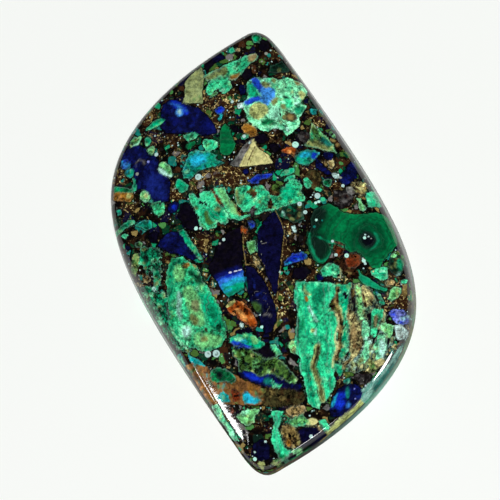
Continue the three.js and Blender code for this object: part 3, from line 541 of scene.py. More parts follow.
# Changes of colour inside a chip: (colour, corners, softness of the edge in millimetres).
STAINS = [
    ("royal", [(-7.2, 11.7), (-6.6, 11.8), (-5.9, 11.4), (-5.4, 10.7), (-5.6, 10.5), (-6.6, 11.0)], 0.14),
    ("sky", [(-6.6, 11.0), (-6.2, 11.25), (-5.9, 10.8), (-6.1, 10.4), (-6.6, 10.5)], 0.06),
    ("aqua", [(-6.5, 10.9), (-6.2, 11.0), (-6.1, 10.6), (-6.4, 10.6)], 0.1),
    ("olive", [(-4.4, 13.7), (-2.6, 14.6), (-2.4, 13.9), (-3.0, 13.6), (-4.2, 13.2)], 0.12),
    ("amber", [(-2.3, 13.5), (-1.6, 13.8), (-1.3, 13.9), (-1.6, 13.2), (-2.2, 13.2)], 0.08),
    ("tan", [(-0.85, 15.3), (-0.1, 15.5), (0.0, 15.1), (-0.7, 14.6)], 0.1),
    ("pale mint", [(-3.0, 12.35), (-2.7, 12.55), (-2.5, 12.4), (-2.7, 12.2)], 0.05),
    ("sea", [(-0.85, 13.0), (-0.3, 12.9), (0.0, 12.2), (0.15, 11.8), (-0.7, 11.7), (-0.9, 12.3)], 0.05),
    ("royal", [(-0.55, 13.4), (-0.1, 13.4), (0.3, 12.9), (0.55, 12.3), (0.2, 12.0), (-0.1, 12.5), (-0.4, 12.9)],
     0.05),
    ("sky", [(0.3, 12.7), (0.8, 12.6), (1.45, 12.45), (1.5, 12.0), (1.1, 11.5), (0.9, 11.0), (0.5, 11.2),
     (0.1, 11.4), (0.25, 12.0)], 0.06),
    ("royal", [(-1.15, 11.45), (-0.3, 11.8), (0.4, 11.95), (0.25, 11.5), (-0.4, 11.3), (-0.8, 11.0)], 0.05),
    ("olive", [(0.3, 13.15), (1.0, 12.85), (0.75, 12.45), (0.3, 12.65)], 0.06),
    ("khaki", [(-0.75, 10.9), (0.0, 11.35), (0.55, 11.25), (1.0, 10.8), (0.75, 10.15), (0.1, 9.75), (-0.55, 10.2)],
     0.05),
    ("pale mint", [(1.0, 11.2), (1.8, 11.0), (1.8, 9.9), (1.2, 9.8), (0.9, 10.3)], 0.14),
    ("emerald", [(0.3, 9.85), (1.25, 9.95), (1.4, 9.7), (0.8, 9.25), (0.35, 9.35)], 0.07),
    ("olive", [(1.0, 13.4), (1.45, 13.3), (1.4, 12.85), (1.1, 12.95)], 0.08),
    ("bronze", [(2.75, 13.35), (3.45, 13.0), (3.15, 12.7), (2.85, 12.85)], 0.1),
    ("khaki", [(3.2, 12.5), (3.8, 12.1), (3.5, 11.55), (3.2, 11.8)], 0.12),
    ("olive", [(1.05, 11.45), (1.6, 11.85), (1.55, 11.3), (1.2, 11.0)], 0.06),
    ("olive", [(1.8, 11.3), (2.35, 11.15), (2.2, 10.75), (1.75, 10.85)], 0.07),
    ("bottle", [(1.9, 11.95), (2.4, 11.85), (2.55, 11.6), (2.05, 11.6)], 0.1),
    ("wet mint", [(2.0, 11.6), (2.7, 11.6), (2.8, 11.0), (2.3, 10.8)], 0.12),
    ("umber", [(1.85, 10.2), (2.4, 10.55), (3.05, 10.4), (3.15, 9.95), (2.7, 9.65), (2.2, 9.65), (1.85, 9.9)],
     0.05),
    ("bronze", [(2.35, 10.3), (2.85, 10.3), (2.8, 9.85), (2.4, 9.9)], 0.12),
    ("olive", [(1.9, 10.15), (2.25, 10.35), (2.25, 9.8), (2.0, 9.85)], 0.06),
    ("jade", [(2.9, 11.15), (3.75, 11.15), (3.65, 10.65), (3.2, 10.35), (2.85, 10.6)], 0.07),
    ("ultramarine", [(-3.3, -2.5), (-1.2, -1.7), (-1.0, -2.2), (-2.1, -2.5), (-3.2, -2.9)], 0.25),
    ("cyan", [(-2.9, -3.2), (-1.9, -2.85), (-0.85, -2.6), (-0.85, -3.0), (-1.9, -3.3), (-2.7, -3.6)], 0.1),
    ("sea", [(-2.8, -3.55), (-1.9, -3.25), (-0.8, -2.9), (-0.7, -3.7), (-1.6, -4.1), (-2.3, -4.4)], 0.12),
    ("cyan", [(-2.7, -3.7), (-2.0, -3.5), (-1.9, -3.7), (-2.5, -3.95)], 0.1),
    ("moss", [(-0.5, -4.6), (0.2, -4.7), (0.4, -5.2), (0.2, -5.45), (-0.3, -5.1)], 0.15),
    ("apricot", [(-1.7, -5.0), (-1.1, -5.3), (-0.6, -5.9), (-0.8, -6.2), (-1.3, -5.7), (-1.6, -5.35)], 0.08),
    ("khaki", [(-2.5, -4.9), (-2.2, -4.6), (-1.8, -4.3), (-1.6, -4.5), (-2.2, -5.05)], 0.05),
    ("jade", [(-7.0, -1.6), (-6.6, -1.2), (-6.2, -1.0), (-5.8, -1.1), (-5.8, -1.4), (-6.3, -1.6), (-6.6, -2.1),
     (-6.5, -3.2), (-6.6, -4.6), (-7.0, -4.4), (-7.1, -2.7)], 0.2),
    ("spring", [(-6.4, -1.6), (-6.0, -1.5), (-5.6, -2.0), (-5.7, -2.5), (-6.1, -2.9), (-6.5, -2.6), (-6.6, -2.1)],
     0.1),
    ("amber", [(-5.7, -1.4), (-5.3, -1.35), (-5.2, -1.7), (-5.5, -1.85), (-5.8, -1.7)], 0.1),
    ("amber", [(-5.1, -1.5), (-4.75, -1.6), (-4.8, -1.9), (-5.1, -1.75)], 0.08),
    ("forest", [(-5.5, -2.0), (-5.1, -2.0), (-4.8, -2.3), (-4.3, -2.5), (-4.0, -3.0), (-4.4, -3.1), (-5.0, -2.6),
     (-5.4, -2.5)], 0.16),
    ("spring", [(-5.8, -3.2), (-5.2, -3.2), (-4.8, -3.7), (-4.5, -4.2), (-4.4, -5.0), (-4.1, -5.8), (-4.2, -6.3),
     (-4.8, -6.3), (-5.2, -5.7), (-5.4, -4.9), (-5.7, -4.2), (-5.9, -3.6)], 0.14),
    ("sage", [(-5.1, -4.3), (-4.7, -4.2), (-4.5, -4.7), (-4.6, -5.2), (-5.0, -5.3), (-5.2, -4.8)], 0.14),
    ("olive", [(-5.4, -5.3), (-4.9, -5.5), (-4.6, -6.0), (-4.9, -6.3), (-5.3, -5.9)], 0.14),
    ("sea", [(-4.4, -4.0), (-3.8, -3.7), (-3.3, -4.3), (-2.9, -5.3), (-2.6, -6.3), (-2.9, -6.8), (-3.6, -6.6),
     (-3.9, -5.8), (-4.3, -4.9)], 0.14),
    ("jade", [(-3.7, -4.6), (-3.2, -4.9), (-3.1, -5.7), (-3.5, -5.9), (-3.8, -5.3)], 0.25),
    ("forest", [(-3.2, -6.15), (-2.8, -6.25), (-2.8, -6.75), (-3.2, -6.8)], 0.1),
    ("umber", [(-4.2, -6.5), (-3.8, -6.5), (-3.8, -6.9), (-4.1, -6.9)], 0.06),
    ("frost", [(-6.3, -3.6), (-6.05, -3.6), (-6.05, -4.7), (-5.95, -5.5), (-6.15, -5.9), (-6.35, -5.5),
     (-6.35, -4.6)], 0.2),
    # These icy mint and aqua patches are partly the oval's own pale green and partly a painted highlight, a white
    # reflection painted as colour.
    ("icy mint", [(-6.2, -6.4), (-5.5, -6.0), (-5.0, -6.7), (-5.3, -7.4), (-6.1, -7.2)], 0.3),
    ("aqua", [(-6.0, -6.5), (-5.4, -6.2), (-5.2, -6.7), (-5.4, -7.2), (-5.9, -7.1)], 0.14),
    ("spring", [(-4.9, -6.8), (-4.1, -6.9), (-2.8, -7.1), (-2.6, -7.6), (-3.4, -8.1), (-4.7, -8.0), (-5.1, -7.4)],
     0.14),
    ("olive", [(-4.5, -7.2), (-3.9, -7.1), (-3.8, -7.5), (-4.4, -7.6)], 0.14),
    ("icy mint", [(-6.9, -6.1), (-6.7, -6.7), (-6.2, -7.3), (-5.8, -7.7), (-5.5, -8.1), (-5.9, -7.9), (-6.4, -7.4),
     (-6.9, -6.8)], 0.05),
    ("jade", [(4.4, -3.5), (5.2, -3.3), (5.7, -3.7), (5.2, -4.5), (4.7, -5.2), (4.3, -4.4)], 0.2),
    ("jade", [(3.2, -5.9), (3.7, -6.2), (3.6, -7.2), (3.2, -7.0)], 0.2),
    ("wet mint", [(6.1, -9.2), (6.5, -9.3), (6.4, -9.8)], 0.1),
    ("tan", [(7.3, -6.0), (7.7, -6.6), (7.75, -7.1), (7.65, -7.8), (7.4, -7.7), (7.3, -7.0)], 0.16),
    ("tan", [(9.05, -5.6), (9.25, -5.8), (9.15, -6.5), (9.0, -6.4)], 0.1),
    ("olive", [(8.0, -8.7), (7.6, -9.5), (8.0, -9.5), (8.35, -9.1)], 0.14),
    ("ink", [(-3.4, -9.9), (-2.7, -9.8), (-2.5, -10.4), (-3.2, -10.5)], 0.22),
    ("cyan", [(-1.1, -11.6), (-0.8, -11.5), (-0.6, -12.0), (0.1, -12.15), (-0.1, -12.4), (-1.0, -12.4)], 0.1),
    ("icy mint", [(-1.5, -12.9), (-0.6, -12.8), (-0.8, -13.2), (-1.4, -13.3)], 0.12),
    ("ultramarine", [(-4.4, 10.0), (-3.5, 9.8), (-3.5, 9.0), (-4.3, 9.0)], 0.35),
    ("sky", [(-10.8, 6.9), (-10.45, 6.95), (-10.3, 6.6), (-10.7, 6.5)], 0.12),
    ("cyan", [(-5.2, 7.2), (-4.2, 7.2), (-4.0, 6.6), (-4.7, 6.1), (-5.3, 6.4)], 0.25),
    ("royal", [(-6.8, 3.1), (-6.4, 3.2), (-6.4, 2.8)], 0.12),
    ("sapphire", [(-9.0, 5.6), (-8.2, 5.9), (-7.4, 5.0), (-7.2, 3.8), (-8.2, 3.7), (-8.9, 4.6)], 0.4),
    ("pale mint", [(-10.15, 8.2), (-9.65, 8.4), (-9.4, 8.9), (-9.3, 8.6), (-9.7, 8.1)], 0.05),
    ("aqua", [(-7.85, 6.35), (-7.2, 5.85), (-6.65, 5.5), (-6.75, 5.3), (-7.3, 5.6), (-7.8, 6.0)], 0.06),
    ("khaki", [(-10.5, 4.3), (-10.0, 4.3), (-10.1, 3.8), (-10.5, 3.9)], 0.1),
    ("cyan", [(3.2, 6.9), (3.6, 7.25), (4.1, 7.3), (4.1, 7.0), (3.6, 6.8)], 0.12),
    ("royal", [(4.2, 7.4), (4.85, 7.2), (4.45, 6.7), (4.2, 6.9)], 0.1),
    ("olive", [(4.5, 7.9), (5.2, 7.9), (6.1, 7.5), (5.4, 7.4), (4.6, 7.6)], 0.14),
    ("lilac", [(10.6, -5.3), (11.2, -5.4), (11.1, -5.7), (10.7, -5.6)], 0.15),
    ("cyan", [(2.2, -1.6), (2.8, -1.5), (2.7, -1.75), (2.3, -1.8)], 0.1),
    ("forest", [(7.4, 1.1), (8.5, 1.7), (9.5, 1.2), (9.8, 0.1), (9.3, -0.8), (8.3, -0.9), (7.4, -0.1)], 1.2),
    ("forest", [(3.8, 2.9), (5.2, 3.2), (5.7, 2.3), (5.2, 1.0), (5.6, 0.0), (5.9, -1.0), (5.0, -1.9), (3.8, -1.2)],
     0.9),
    ("ink", [(8.0, 0.8), (8.5, 1.0), (9.1, 0.7), (9.3, 0.2), (9.0, -0.3), (8.4, -0.4), (8.0, 0.0)], 0.25),
    ("bottle", [(4.1, 2.7), (5.2, 2.9), (5.6, 2.2), (5.1, 1.4), (4.7, 0.7), (4.1, 0.5), (4.0, 1.5)], 0.3),
    ("bottle", [(4.1, 0.4), (4.9, 0.8), (5.4, 0.1), (5.7, -0.5), (5.3, -1.2), (4.9, -1.5), (4.4, -0.9),
     (4.2, -0.2)], 0.3),
    ("cream", [(6.4, -1.9), (6.6, -2.3), (6.6, -2.8), (6.2, -2.9), (6.4, -2.5)], 0.07),
    ("jade", [(10.9, -1.0), (11.3, -1.3), (11.2, -2.1), (10.95, -2.2)], 0.1),
    ("bottle", [(-9.1, -0.7), (-8.6, -0.6), (-8.5, -1.2), (-9.0, -1.3)], 0.12),
    ("aqua", [(-8.35, -3.2), (-8.1, -3.15), (-8.05, -3.45), (-8.25, -3.45)], 0.06),
    ("aqua", [(9.4, -7.4), (9.8, -7.6), (9.95, -8.3), (9.7, -9.0), (9.4, -8.4)], 0.12),
    ("royal", [(-2.2, -7.7), (-1.8, -7.5), (-1.3, -7.7), (-0.9, -7.85), (-0.3, -8.0), (-0.5, -8.25), (-1.2, -8.1),
     (-2.0, -8.0)], 0.06),
    ("spring", [(-0.5, -7.3), (-0.1, -7.2), (0.2, -7.6), (-0.1, -7.9), (-0.4, -7.7)], 0.08),
    ("icy mint", [(-1.8, -7.3), (-1.3, -7.25), (-1.0, -7.5), (-1.7, -7.6)], 0.1),
    ("cyan", [(-1.4, -7.55), (-0.9, -7.5), (-0.6, -7.85), (-1.0, -7.8)], 0.08),
    ("royal", [(-1.3, -10.0), (-0.7, -10.0), (0.1, -10.4), (0.5, -10.45), (0.4, -10.8), (-0.4, -10.6)], 0.12),
    ("teal", [(0.4, -10.5), (1.0, -10.5), (1.2, -11.0), (0.6, -10.95)], 0.12),
    ("royal", [(6.1, -11.6), (6.7, -11.5), (6.8, -12.2), (6.5, -12.9), (6.0, -12.8), (6.0, -12.2)], 0.18),
    ("teal", [(6.8, -11.2), (7.05, -11.1), (7.05, -12.0), (6.8, -12.1)], 0.08),
    ("cyan", [(5.6, -12.7), (5.85, -12.0), (6.15, -11.5), (6.15, -11.8), (5.8, -12.6)], 0.08),
    ("sky", [(6.8, -12.3), (7.1, -12.2), (7.15, -12.7), (6.9, -12.7)], 0.12),
    ("emerald", [(2.1, -13.7), (2.6, -13.6), (2.6, -13.9), (2.2, -13.9)], 0.1),
    ("pale mint", [(9.4, -2.1), (9.9, -2.05), (9.9, -2.2), (9.4, -2.25)], 0.05),
    ("sea", [(9.3, -2.3), (9.95, -2.25), (9.95, -2.45), (9.3, -2.45)], 0.05),
    ("spring", [(-3.3, 4.4), (-2.6, 4.4), (-1.9, 3.2), (-1.4, 2.4), (-1.7, 2.1), (-2.4, 3.0)], 0.2),
    ("sea", [(-4.4, 2.5), (-3.9, 2.8), (-3.3, 2.8), (-2.8, 2.7), (-2.3, 2.4), (-2.5, 2.0), (-2.9, 1.8), (-3.3, 1.9),
     (-3.9, 1.7), (-4.2, 2.0)], 0.12),
    ("moss", [(-4.1, 2.6), (-3.85, 2.55), (-3.75, 2.1), (-3.4, 1.75), (-3.2, 1.7), (-3.6, 1.45), (-3.95, 1.65),
     (-4.15, 2.0)], 0.1),
    ("olive", [(-3.4, 2.8), (-3.0, 3.05), (-2.65, 2.8), (-2.8, 2.5), (-3.2, 2.55)], 0.12),
    ("jade", [(-1.3, 4.0), (-1.1, 4.3), (-0.8, 4.4), (-0.65, 4.3), (-0.8, 4.0), (-1.0, 3.9)], 0.05),
    ("sea", [(1.9, 4.5), (3.0, 4.6), (3.2, 3.6), (2.2, 3.2), (1.9, 3.7)], 0.2),
    ("olive", [(-1.75, 4.2), (-1.35, 4.4), (-1.3, 3.4), (-1.6, 3.2)], 0.12),
    ("teal", [(5.0, 8.6), (5.5, 8.4), (5.9, 8.0), (5.75, 7.75), (5.3, 7.85), (4.9, 8.2)], 0.12),
    ("moss", [(4.2, 9.5), (4.6, 9.2), (4.7, 8.8), (4.3, 8.7)], 0.12),
    ("olive", [(4.4, 8.3), (5.2, 8.0), (4.9, 7.7), (4.2, 7.9)], 0.16),
]

# Lines, and round spots where there is one place alone: (colour, width in millimetres, places it runs through).
MARKS = [
    ("bubble", 0.3, (-8.05, 7.35)), ("bubble", 0.48, (-4.6, 5.35)), ("aqua", 0.48, (3.0, 7.85)),
    ("bubble", 0.42, (4.73, 3.72)), ("bubble", 0.28, (3.8, 2.4)), ("bubble", 0.32, (3.36, 3.05)),
    ("bubble", 0.24, (-2.0, 11.42)), ("mist", 0.24, (0.62, 15.42)), ("mist", 0.16, (0.3, 14.75)),
    ("bubble", 0.54, (-3.22, -8.5)), ("bubble", 0.48, (-3.9, -8.52)), ("bubble", 0.16, (0.25, -5.6)),
    ("aqua", 0.24, (0.4, -6.55)), ("bubble", 0.24, (6.15, -0.95)), ("aqua", 0.32, (6.98, -1.0)),
    ("aqua", 0.26, (8.28, -1.38)), ("bubble", 0.18, (8.4, -1.6)), ("bubble", 0.2, (5.9, 0.12)),
    ("aqua", 0.28, (-4.75, 1.25)), ("bubble", 0.18, (-4.4, 1.25)), ("bubble", 0.22, (-2.55, 0.3)),
    ("mist", 0.16, (-2.85, 0.0)), ("mist", 0.1, (0.4, 0.1)), ("mist", 0.1, (0.4, -0.9)),
    ("mist", 0.24, (-9.6, 5.85)), ("lilac", 0.2, (-8.7, 6.8)), ("bubble", 0.24, (6.68, 4.6)),
    ("mist", 0.18, (6.5, 5.25)), ("aqua", 0.2, (4.6, 3.15)), ("aqua", 0.2, (4.85, 3.25)),
    ("mint", 0.32, (5.15, 3.45)), ("aqua", 0.18, (4.65, 1.78)), ("teal", 0.14, (5.1, 1.75)),
    ("teal", 0.2, (4.5, 1.25)), ("aqua", 0.22, (8.35, 0.45)), ("bubble", 0.12, (8.65, 0.55)),
    ("bubble", 0.12, (8.4, 0.7)), ("mist", 0.1, (8.85, 0.4)), ("bubble", 0.28, (-1.0, 8.52)),
    ("bubble", 0.2, (-0.55, 8.0)), ("ink", 0.14, (2.2, 12.6)), ("ink", 0.1, (0.9, 12.0)),
    ("ink", 0.08, (2.7, 11.9)), ("ink", 0.1, (2.7, 10.9)), ("forest", 0.16, (2.1, 9.4)), ("ink", 0.08, (2.7, 13.0)),
    ("ink", 0.04, (1.75, 10.8), (1.85, 10.2), (1.9, 9.8), (2.3, 9.5)),
    # The aqua spot at (-0.32, -16.62) is a painted highlight on the navy chip.
    ("forest", 0.03, (2.5, 11.0), (2.75, 11.5), (2.8, 12.2)), ("aqua", 0.28, (-0.32, -16.62)),
    ("bubble", 0.16, (-0.3, -16.1)), ("bubble", 0.28, (4.05, -14.9)), ("bubble", 0.2, (0.55, -15.3)),
    ("ink", 0.24, (5.9, -12.95)), ("lilac", 0.12, (7.45, -11.25)), ("lilac", 0.12, (7.5, -12.0)),
    # The glint marks on the blue wedge are painted highlights, white reflections painted as colour.
    ("mist", 0.1, (-3.5, 10.2)), ("glint", 0.1, (-2.1, -2.3), (-1.98, -2.27)),
    ("glint", 0.06, (-1.75, -2.22), (-1.5, -2.16)), ("glint", 0.06, (-1.35, -2.12), (-1.15, -2.07)),
    ("bubble", 0.14, (-8.2, 8.9)), ("bubble", 0.16, (1.85, -2.3)), ("cream", 0.2, (2.0, -5.5)),
    ("ink", 0.2, (6.35, -2.55)), ("cream", 0.12, (9.0, -2.2)), ("cream", 0.14, (-6.6, 3.55)),
    # The glint spot at (8.3, -11.0) and the mist spot at (8.6, -10.75) are painted highlights, specks of reflected
    # light painted as colour.
    ("mist", 0.12, (8.6, -10.75)), ("glint", 0.12, (8.3, -11.0)), ("mist", 0.1, (8.15, -10.6)),
    ("cream", 0.14, (10.6, -7.85)), ("cream", 0.12, (10.4, -8.0)), ("tan", 0.14, (10.2, -8.3)),
    ("cream", 0.12, (10.0, -8.6)), ("tan", 0.12, (10.9, -7.75)), ("tan", 0.12, (9.9, -4.95)),
    ("tan", 0.14, (10.3, -4.6)), ("tan", 0.12, (10.8, -4.15)),
    ("umber", 0.06, (-0.12, 7.7), (-0.45, 7.0), (-0.62, 6.6), (-0.72, 6.2)),
    ("bronze", 0.03, (0.0, 7.45), (-0.3, 6.9), (-0.45, 6.5), (-0.52, 6.2)),
    ("bronze", 0.04, (-0.45, 7.9), (-0.85, 6.95), (-1.08, 6.2)),
    ("bronze", 0.03, (0.5, 7.25), (0.8, 6.8), (0.9, 6.4)),
    ("forest", 0.05, (3.6, -3.2), (3.6, -3.7), (3.8, -4.1), (3.9, -4.4), (4.0, -5.0), (4.2, -5.5), (4.4, -6.0),
     (4.7, -6.4), (4.35, -6.75)),
    ("forest", 0.02, (4.8, -6.2), (5.2, -5.7), (5.8, -5.2)),
    ("umber", 0.05, (4.5, -8.0), (4.4, -8.5), (4.2, -9.2), (4.2, -9.7), (4.4, -10.2), (4.6, -10.9), (4.6, -11.6),
     (4.9, -12.3)),
    ("umber", 0.04, (5.0, -8.1), (4.8, -8.6), (4.7, -9.1), (4.5, -9.6), (4.7, -10.0), (4.95, -10.6), (5.1, -11.2),
     (5.2, -11.8)),
    ("bronze", 0.05, (-1.05, 1.3), (-1.0, -0.4), (-0.8, -1.7), (-0.1, -1.7), (0.55, -2.6), (1.2, -4.1), (1.5, -4.9),
     (1.65, -5.6), (1.6, -6.2), (1.3, -6.95)),
    ("bronze", 0.04, (1.5, 2.5), (1.95, 1.6), (2.2, 0.8), (2.05, -0.5), (1.95, -1.6), (1.75, -2.9), (1.62, -4.2)),
    ("amber", 0.2, (3.85, -4.3), (3.9, -4.5)), ("umber", 0.12, (4.3, -6.9)), ("bottle", 0.14, (4.3, -7.8)),
    ("bottle", 0.05, (6.7, -5.4), (6.85, -5.9), (6.9, -6.3), (6.6, -6.8), (6.5, -7.3), (6.7, -7.7)),
    ("bottle", 0.03, (1.8, 3.6), (1.5, 3.2), (1.3, 3.0)),
    ("forest", 0.03, (2.8, 4.4), (3.1, 4.2), (2.9, 3.8), (3.3, 3.6)),
    ("khaki", 0.04, (-3.3, 3.8), (-3.1, 3.3), (-2.8, 3.0)), ("umber", 0.08, (-0.95, 3.5), (-0.8, 3.4)),
    ("umber", 0.04, (-1.2, 2.2), (-0.8, 2.5), (-0.4, 2.3)),
    ("ink", 0.03, (-1.3, 4.05), (-1.05, 3.85), (-0.75, 3.85)),
    ("coal", 0.02, (-4.7, 3.9), (-4.4, 3.6), (-4.0, 3.5), (-3.6, 3.1)),
    ("coal", 0.02, (1.8, 11.1), (1.7, 10.5), (1.9, 9.9), (1.9, 9.1)),
    ("slate", 0.03, (-0.3, -4.1), (-0.1, -3.8), (0.4, -3.8), (0.8, -4.0)), ("slate", 0.03, (0.4, -0.1), (0.8, 0.0)),
    ("slate", 0.03, (0.0, -4.4), (0.7, -4.5), (1.0, -5.0), (0.7, -5.6)),
]

# Soft lines that tint a chip: (colour, width in millimetres, places).
STREAKS = [
    ("khaki", 0.4, (4.7, -8.0), (4.6, -8.5), (4.4, -9.1), (4.3, -9.6), (4.5, -10.1), (4.7, -10.7), (4.85, -11.3),
     (5.0, -12.2)),
    ("bark", 0.26, (4.75, -8.1), (4.65, -8.6), (4.5, -9.1), (4.35, -9.6), (4.5, -10.0), (4.65, -10.4), (4.8, -11.0),
     (4.9, -11.6)),
    ("olive", 0.14, (4.45, -9.4), (4.5, -10.1), (4.75, -10.8), (4.85, -11.4), (5.0, -12.1)),
    ("cream", 0.16, (5.6, -5.25), (6.0, -5.35), (6.25, -5.8), (6.32, -6.4), (6.1, -7.0), (6.05, -7.5), (6.2, -7.9),
     (6.1, -8.5), (5.85, -9.0), (5.8, -9.6)),
    ("bronze", 0.1, (6.2, -3.2), (6.25, -3.6), (6.1, -4.1), (6.0, -4.6), (6.25, -5.1), (6.5, -5.6), (6.55, -6.1),
     (6.45, -6.7), (6.35, -7.2), (6.4, -7.8), (6.3, -8.4), (6.1, -9.0)),
    ("khaki", 0.08, (6.4, -4.9), (6.55, -5.4), (6.65, -5.9), (6.7, -6.4), (6.6, -7.0), (6.45, -7.5), (6.6, -8.0)),
    ("icy mint", 0.08, (6.9, -5.4), (6.82, -6.3), (6.98, -7.1), (7.0, -7.8)),
    ("aqua", 0.16, (4.05, -5.0), (4.3, -5.5), (4.62, -6.1)),
    ("aqua", 0.06, (4.6, -6.7), (4.5, -7.0), (4.7, -7.5), (4.8, -7.8)),
    ("khaki", 0.22, (4.3, -6.8)),
    ("forest", 0.14, (3.15, -5.0), (3.25, -5.6), (3.2, -6.3), (3.15, -7.0), (3.2, -7.7)),
    ("sapphire", 0.1, (-0.25, -2.8), (-0.15, -3.5)),
    ("sapphire", 0.1, (0.0, -4.1), (0.4, -3.9), (0.7, -4.4)),
    ("slate", 0.08, (0.65, -5.6), (0.9, -5.55), (1.1, -5.7)),
    ("sky", 0.06, (-7.2, 11.6), (-6.4, 11.35), (-5.6, 10.8)),
    ("slate", 0.02, (-9.7, 6.4), (-9.75, 6.75), (-9.5, 7.0), (-9.15, 6.95), (-8.95, 6.6)),
    ("sapphire", 0.08, (-8.9, 6.3), (-8.4, 5.9), (-8.1, 5.2), (-7.6, 4.7)),
    ("sapphire", 0.06, (-8.3, 7.0), (-8.1, 6.5)),
    ("teal", 0.45, (11.5, -7.3), (11.3, -8.2), (10.8, -8.9), (10.3, -9.7), (9.7, -10.4), (9.0, -11.0)),
    ("khaki", 0.1, (3.75, -3.3), (3.7, -3.6), (3.85, -4.0), (4.15, -4.1)),
    ("jade", 0.16, (3.4, -8.4), (3.9, -9.0), (3.8, -10.0), (4.1, -10.9), (4.3, -11.8)),
    ("emerald", 0.14, (3.4, -4.0), (3.3, -5.0), (3.6, -5.9), (3.6, -6.6)),
    ("jade", 0.14, (5.3, -6.0), (5.5, -6.9), (5.3, -7.8), (5.5, -8.6)),
    ("mint", 0.1, (5.9, -3.4), (6.6, -3.3)),
    ("jade", 0.14, (4.1, 0.7), (4.2, -0.2), (4.5, -1.0), (4.9, -1.5), (5.4, -1.4), (5.8, -0.8), (5.9, -0.1)),
    ("jade", 0.08, (4.1, 0.7), (5.8, 0.0), (7.0, -0.4)),
    ("jade", 0.14, (9.1, 0.9), (9.4, 0.3), (9.2, -0.2), (8.8, -0.5)),
]

# Where bronze grains are packed into the resin: (x, y, radius in millimetres, how densely).
BRONZE = [
    (-0.1, -1.3, 0.4, 1.0), (0.5, -2.2, 0.3, 1.0), (1.05, -3.4, 0.3, 1.0), (1.55, -4.6, 0.3, 1.0),
    (1.75, -5.7, 0.3, 0.9), (2.1, 0.0, 0.3, 0.9), (1.95, -1.5, 0.3, 0.9), (1.85, -2.8, 0.3, 0.9),
    (2.2, 1.3, 0.4, 0.9), (-1.0, 0.3, 0.3, 0.9), (-4.2, 11.2, 1.1, 1.0), (-2.4, 11.5, 1.0, 1.0),
    (-3.3, 10.1, 0.8, 0.8), (-8.6, 10.4, 0.8, 0.6), (2.2, 13.8, 0.9, 0.5), (1.6, 15.3, 0.6, 0.4),
    (-1.7, 13.2, 0.5, 0.4), (4.7, 9.8, 0.9, 0.6), (1.1, 8.6, 0.6, 0.6), (4.4, 5.6, 1.0, 0.6), (6.0, 4.4, 0.8, 0.7),
    (5.6, 6.2, 0.7, 0.6), (-2.3, 5.4, 1.2, 1.0), (-0.9, 5.4, 1.0, 0.9), (-3.6, 5.5, 0.9, 0.8),
    (-11.2, 5.6, 0.8, 0.7), (-10.2, 3.3, 0.8, 0.5), (-6.4, 4.2, 0.8, 0.6), (-4.9, 4.8, 0.7, 0.5),
    (-6.2, 7.2, 0.7, 0.5), (-8.2, 8.6, 0.9, 0.4), (-6.7, 8.6, 0.8, 0.5), (-2.6, 7.9, 0.7, 0.4),
    (-4.4, 0.1, 0.8, 0.6), (-5.4, -1.7, 0.6, 0.4), (-3.8, -3.2, 0.6, 0.7), (-9.9, -1.7, 0.7, 0.4),
    (-9.2, -2.7, 0.7, 0.5), (0.0, -1.0, 0.5, 0.8), (0.1, -2.0, 0.5, 0.6), (2.1, -4.4, 0.8, 0.8),
    (2.5, -3.4, 0.7, 0.5), (2.6, 0.6, 0.6, 0.5), (2.2, -0.8, 0.6, 0.5), (1.9, -5.5, 0.6, 0.6),
    (4.3, -2.5, 0.7, 0.7), (6.7, -2.8, 0.8, 0.6), (8.5, -4.2, 0.7, 0.6), (10.3, -3.0, 0.8, 0.8),
    (10.8, -4.5, 1.0, 1.0), (9.7, -4.9, 0.6, 0.8), (11.8, -6.5, 0.5, 0.6), (10.5, -8.2, 0.6, 0.6),
    (6.5, -10.4, 0.7, 0.5), (8.8, -11.4, 0.7, 0.5), (2.7, -13.0, 0.8, 0.7), (2.4, -14.8, 0.9, 1.0),
    (4.2, -14.0, 0.7, 0.6), (0.0, -13.8, 0.8, 0.3), (7.4, 3.4, 0.6, 0.5), (-7.2, 3.0, 0.7, 0.3),
    (9.4, -1.0, 0.7, 0.3),
]


def put_in_scene(name, data):
    """A new object round a mesh, light or camera."""
    made = bpy.data.objects.new(name, data)
    bpy.context.collection.objects.link(made)
    return made


def linear(colour):
    """A named colour as the light values that a shader takes."""
    share = np.array(COLOURS[colour]) / 255
    return np.where(share <= 0.04045, share / 12.92, ((share + 0.055) / 1.055) ** 2.4)


# ---------------------------------------------------------------------------------------------------------------
# The stone's mesh
# ---------------------------------------------------------------------------------------------------------------
TOP_CELLS = (222, 322)  # cells of the dome's net across X and Y
EDGE_INSET = 0.30 * MM  # where the net ends and the wall begins, inside the outline
FOOT_HEIGHT = 0.2 * MM  # top of the small chamfer round the back
WALL_RINGS = 10
BACK_RINGS = 4
SHARP_ANGLE = math.radians(32)
ABOVE = 20 * MM  # height from which the net is dropped
SAME_HEIGHT = 0.01 * MM
SAME_PLACE = 0.001 * MM
FLAT_ENOUGH = math.radians(40)  # two triangles that bend less than this become one face
SQUARE_ENOUGH = math.radians(60)
ROUNDING_LEVELS = 3


def outline_of(node):
    """The stone's widest line, as angles and distances from its middle."""
    places = np.array([vertex.co for vertex in node.data.vertices])
    ring = places[np.abs(places[:, 2] - FOOT_HEIGHT) < SAME_HEIGHT]
    turns = np.round(np.arctan2(ring[:, 1], ring[:, 0]), 6)
    turns, first = np.unique(turns, return_index=True)
    return turns, np.hypot(ring[first, 0], ring[first, 1])


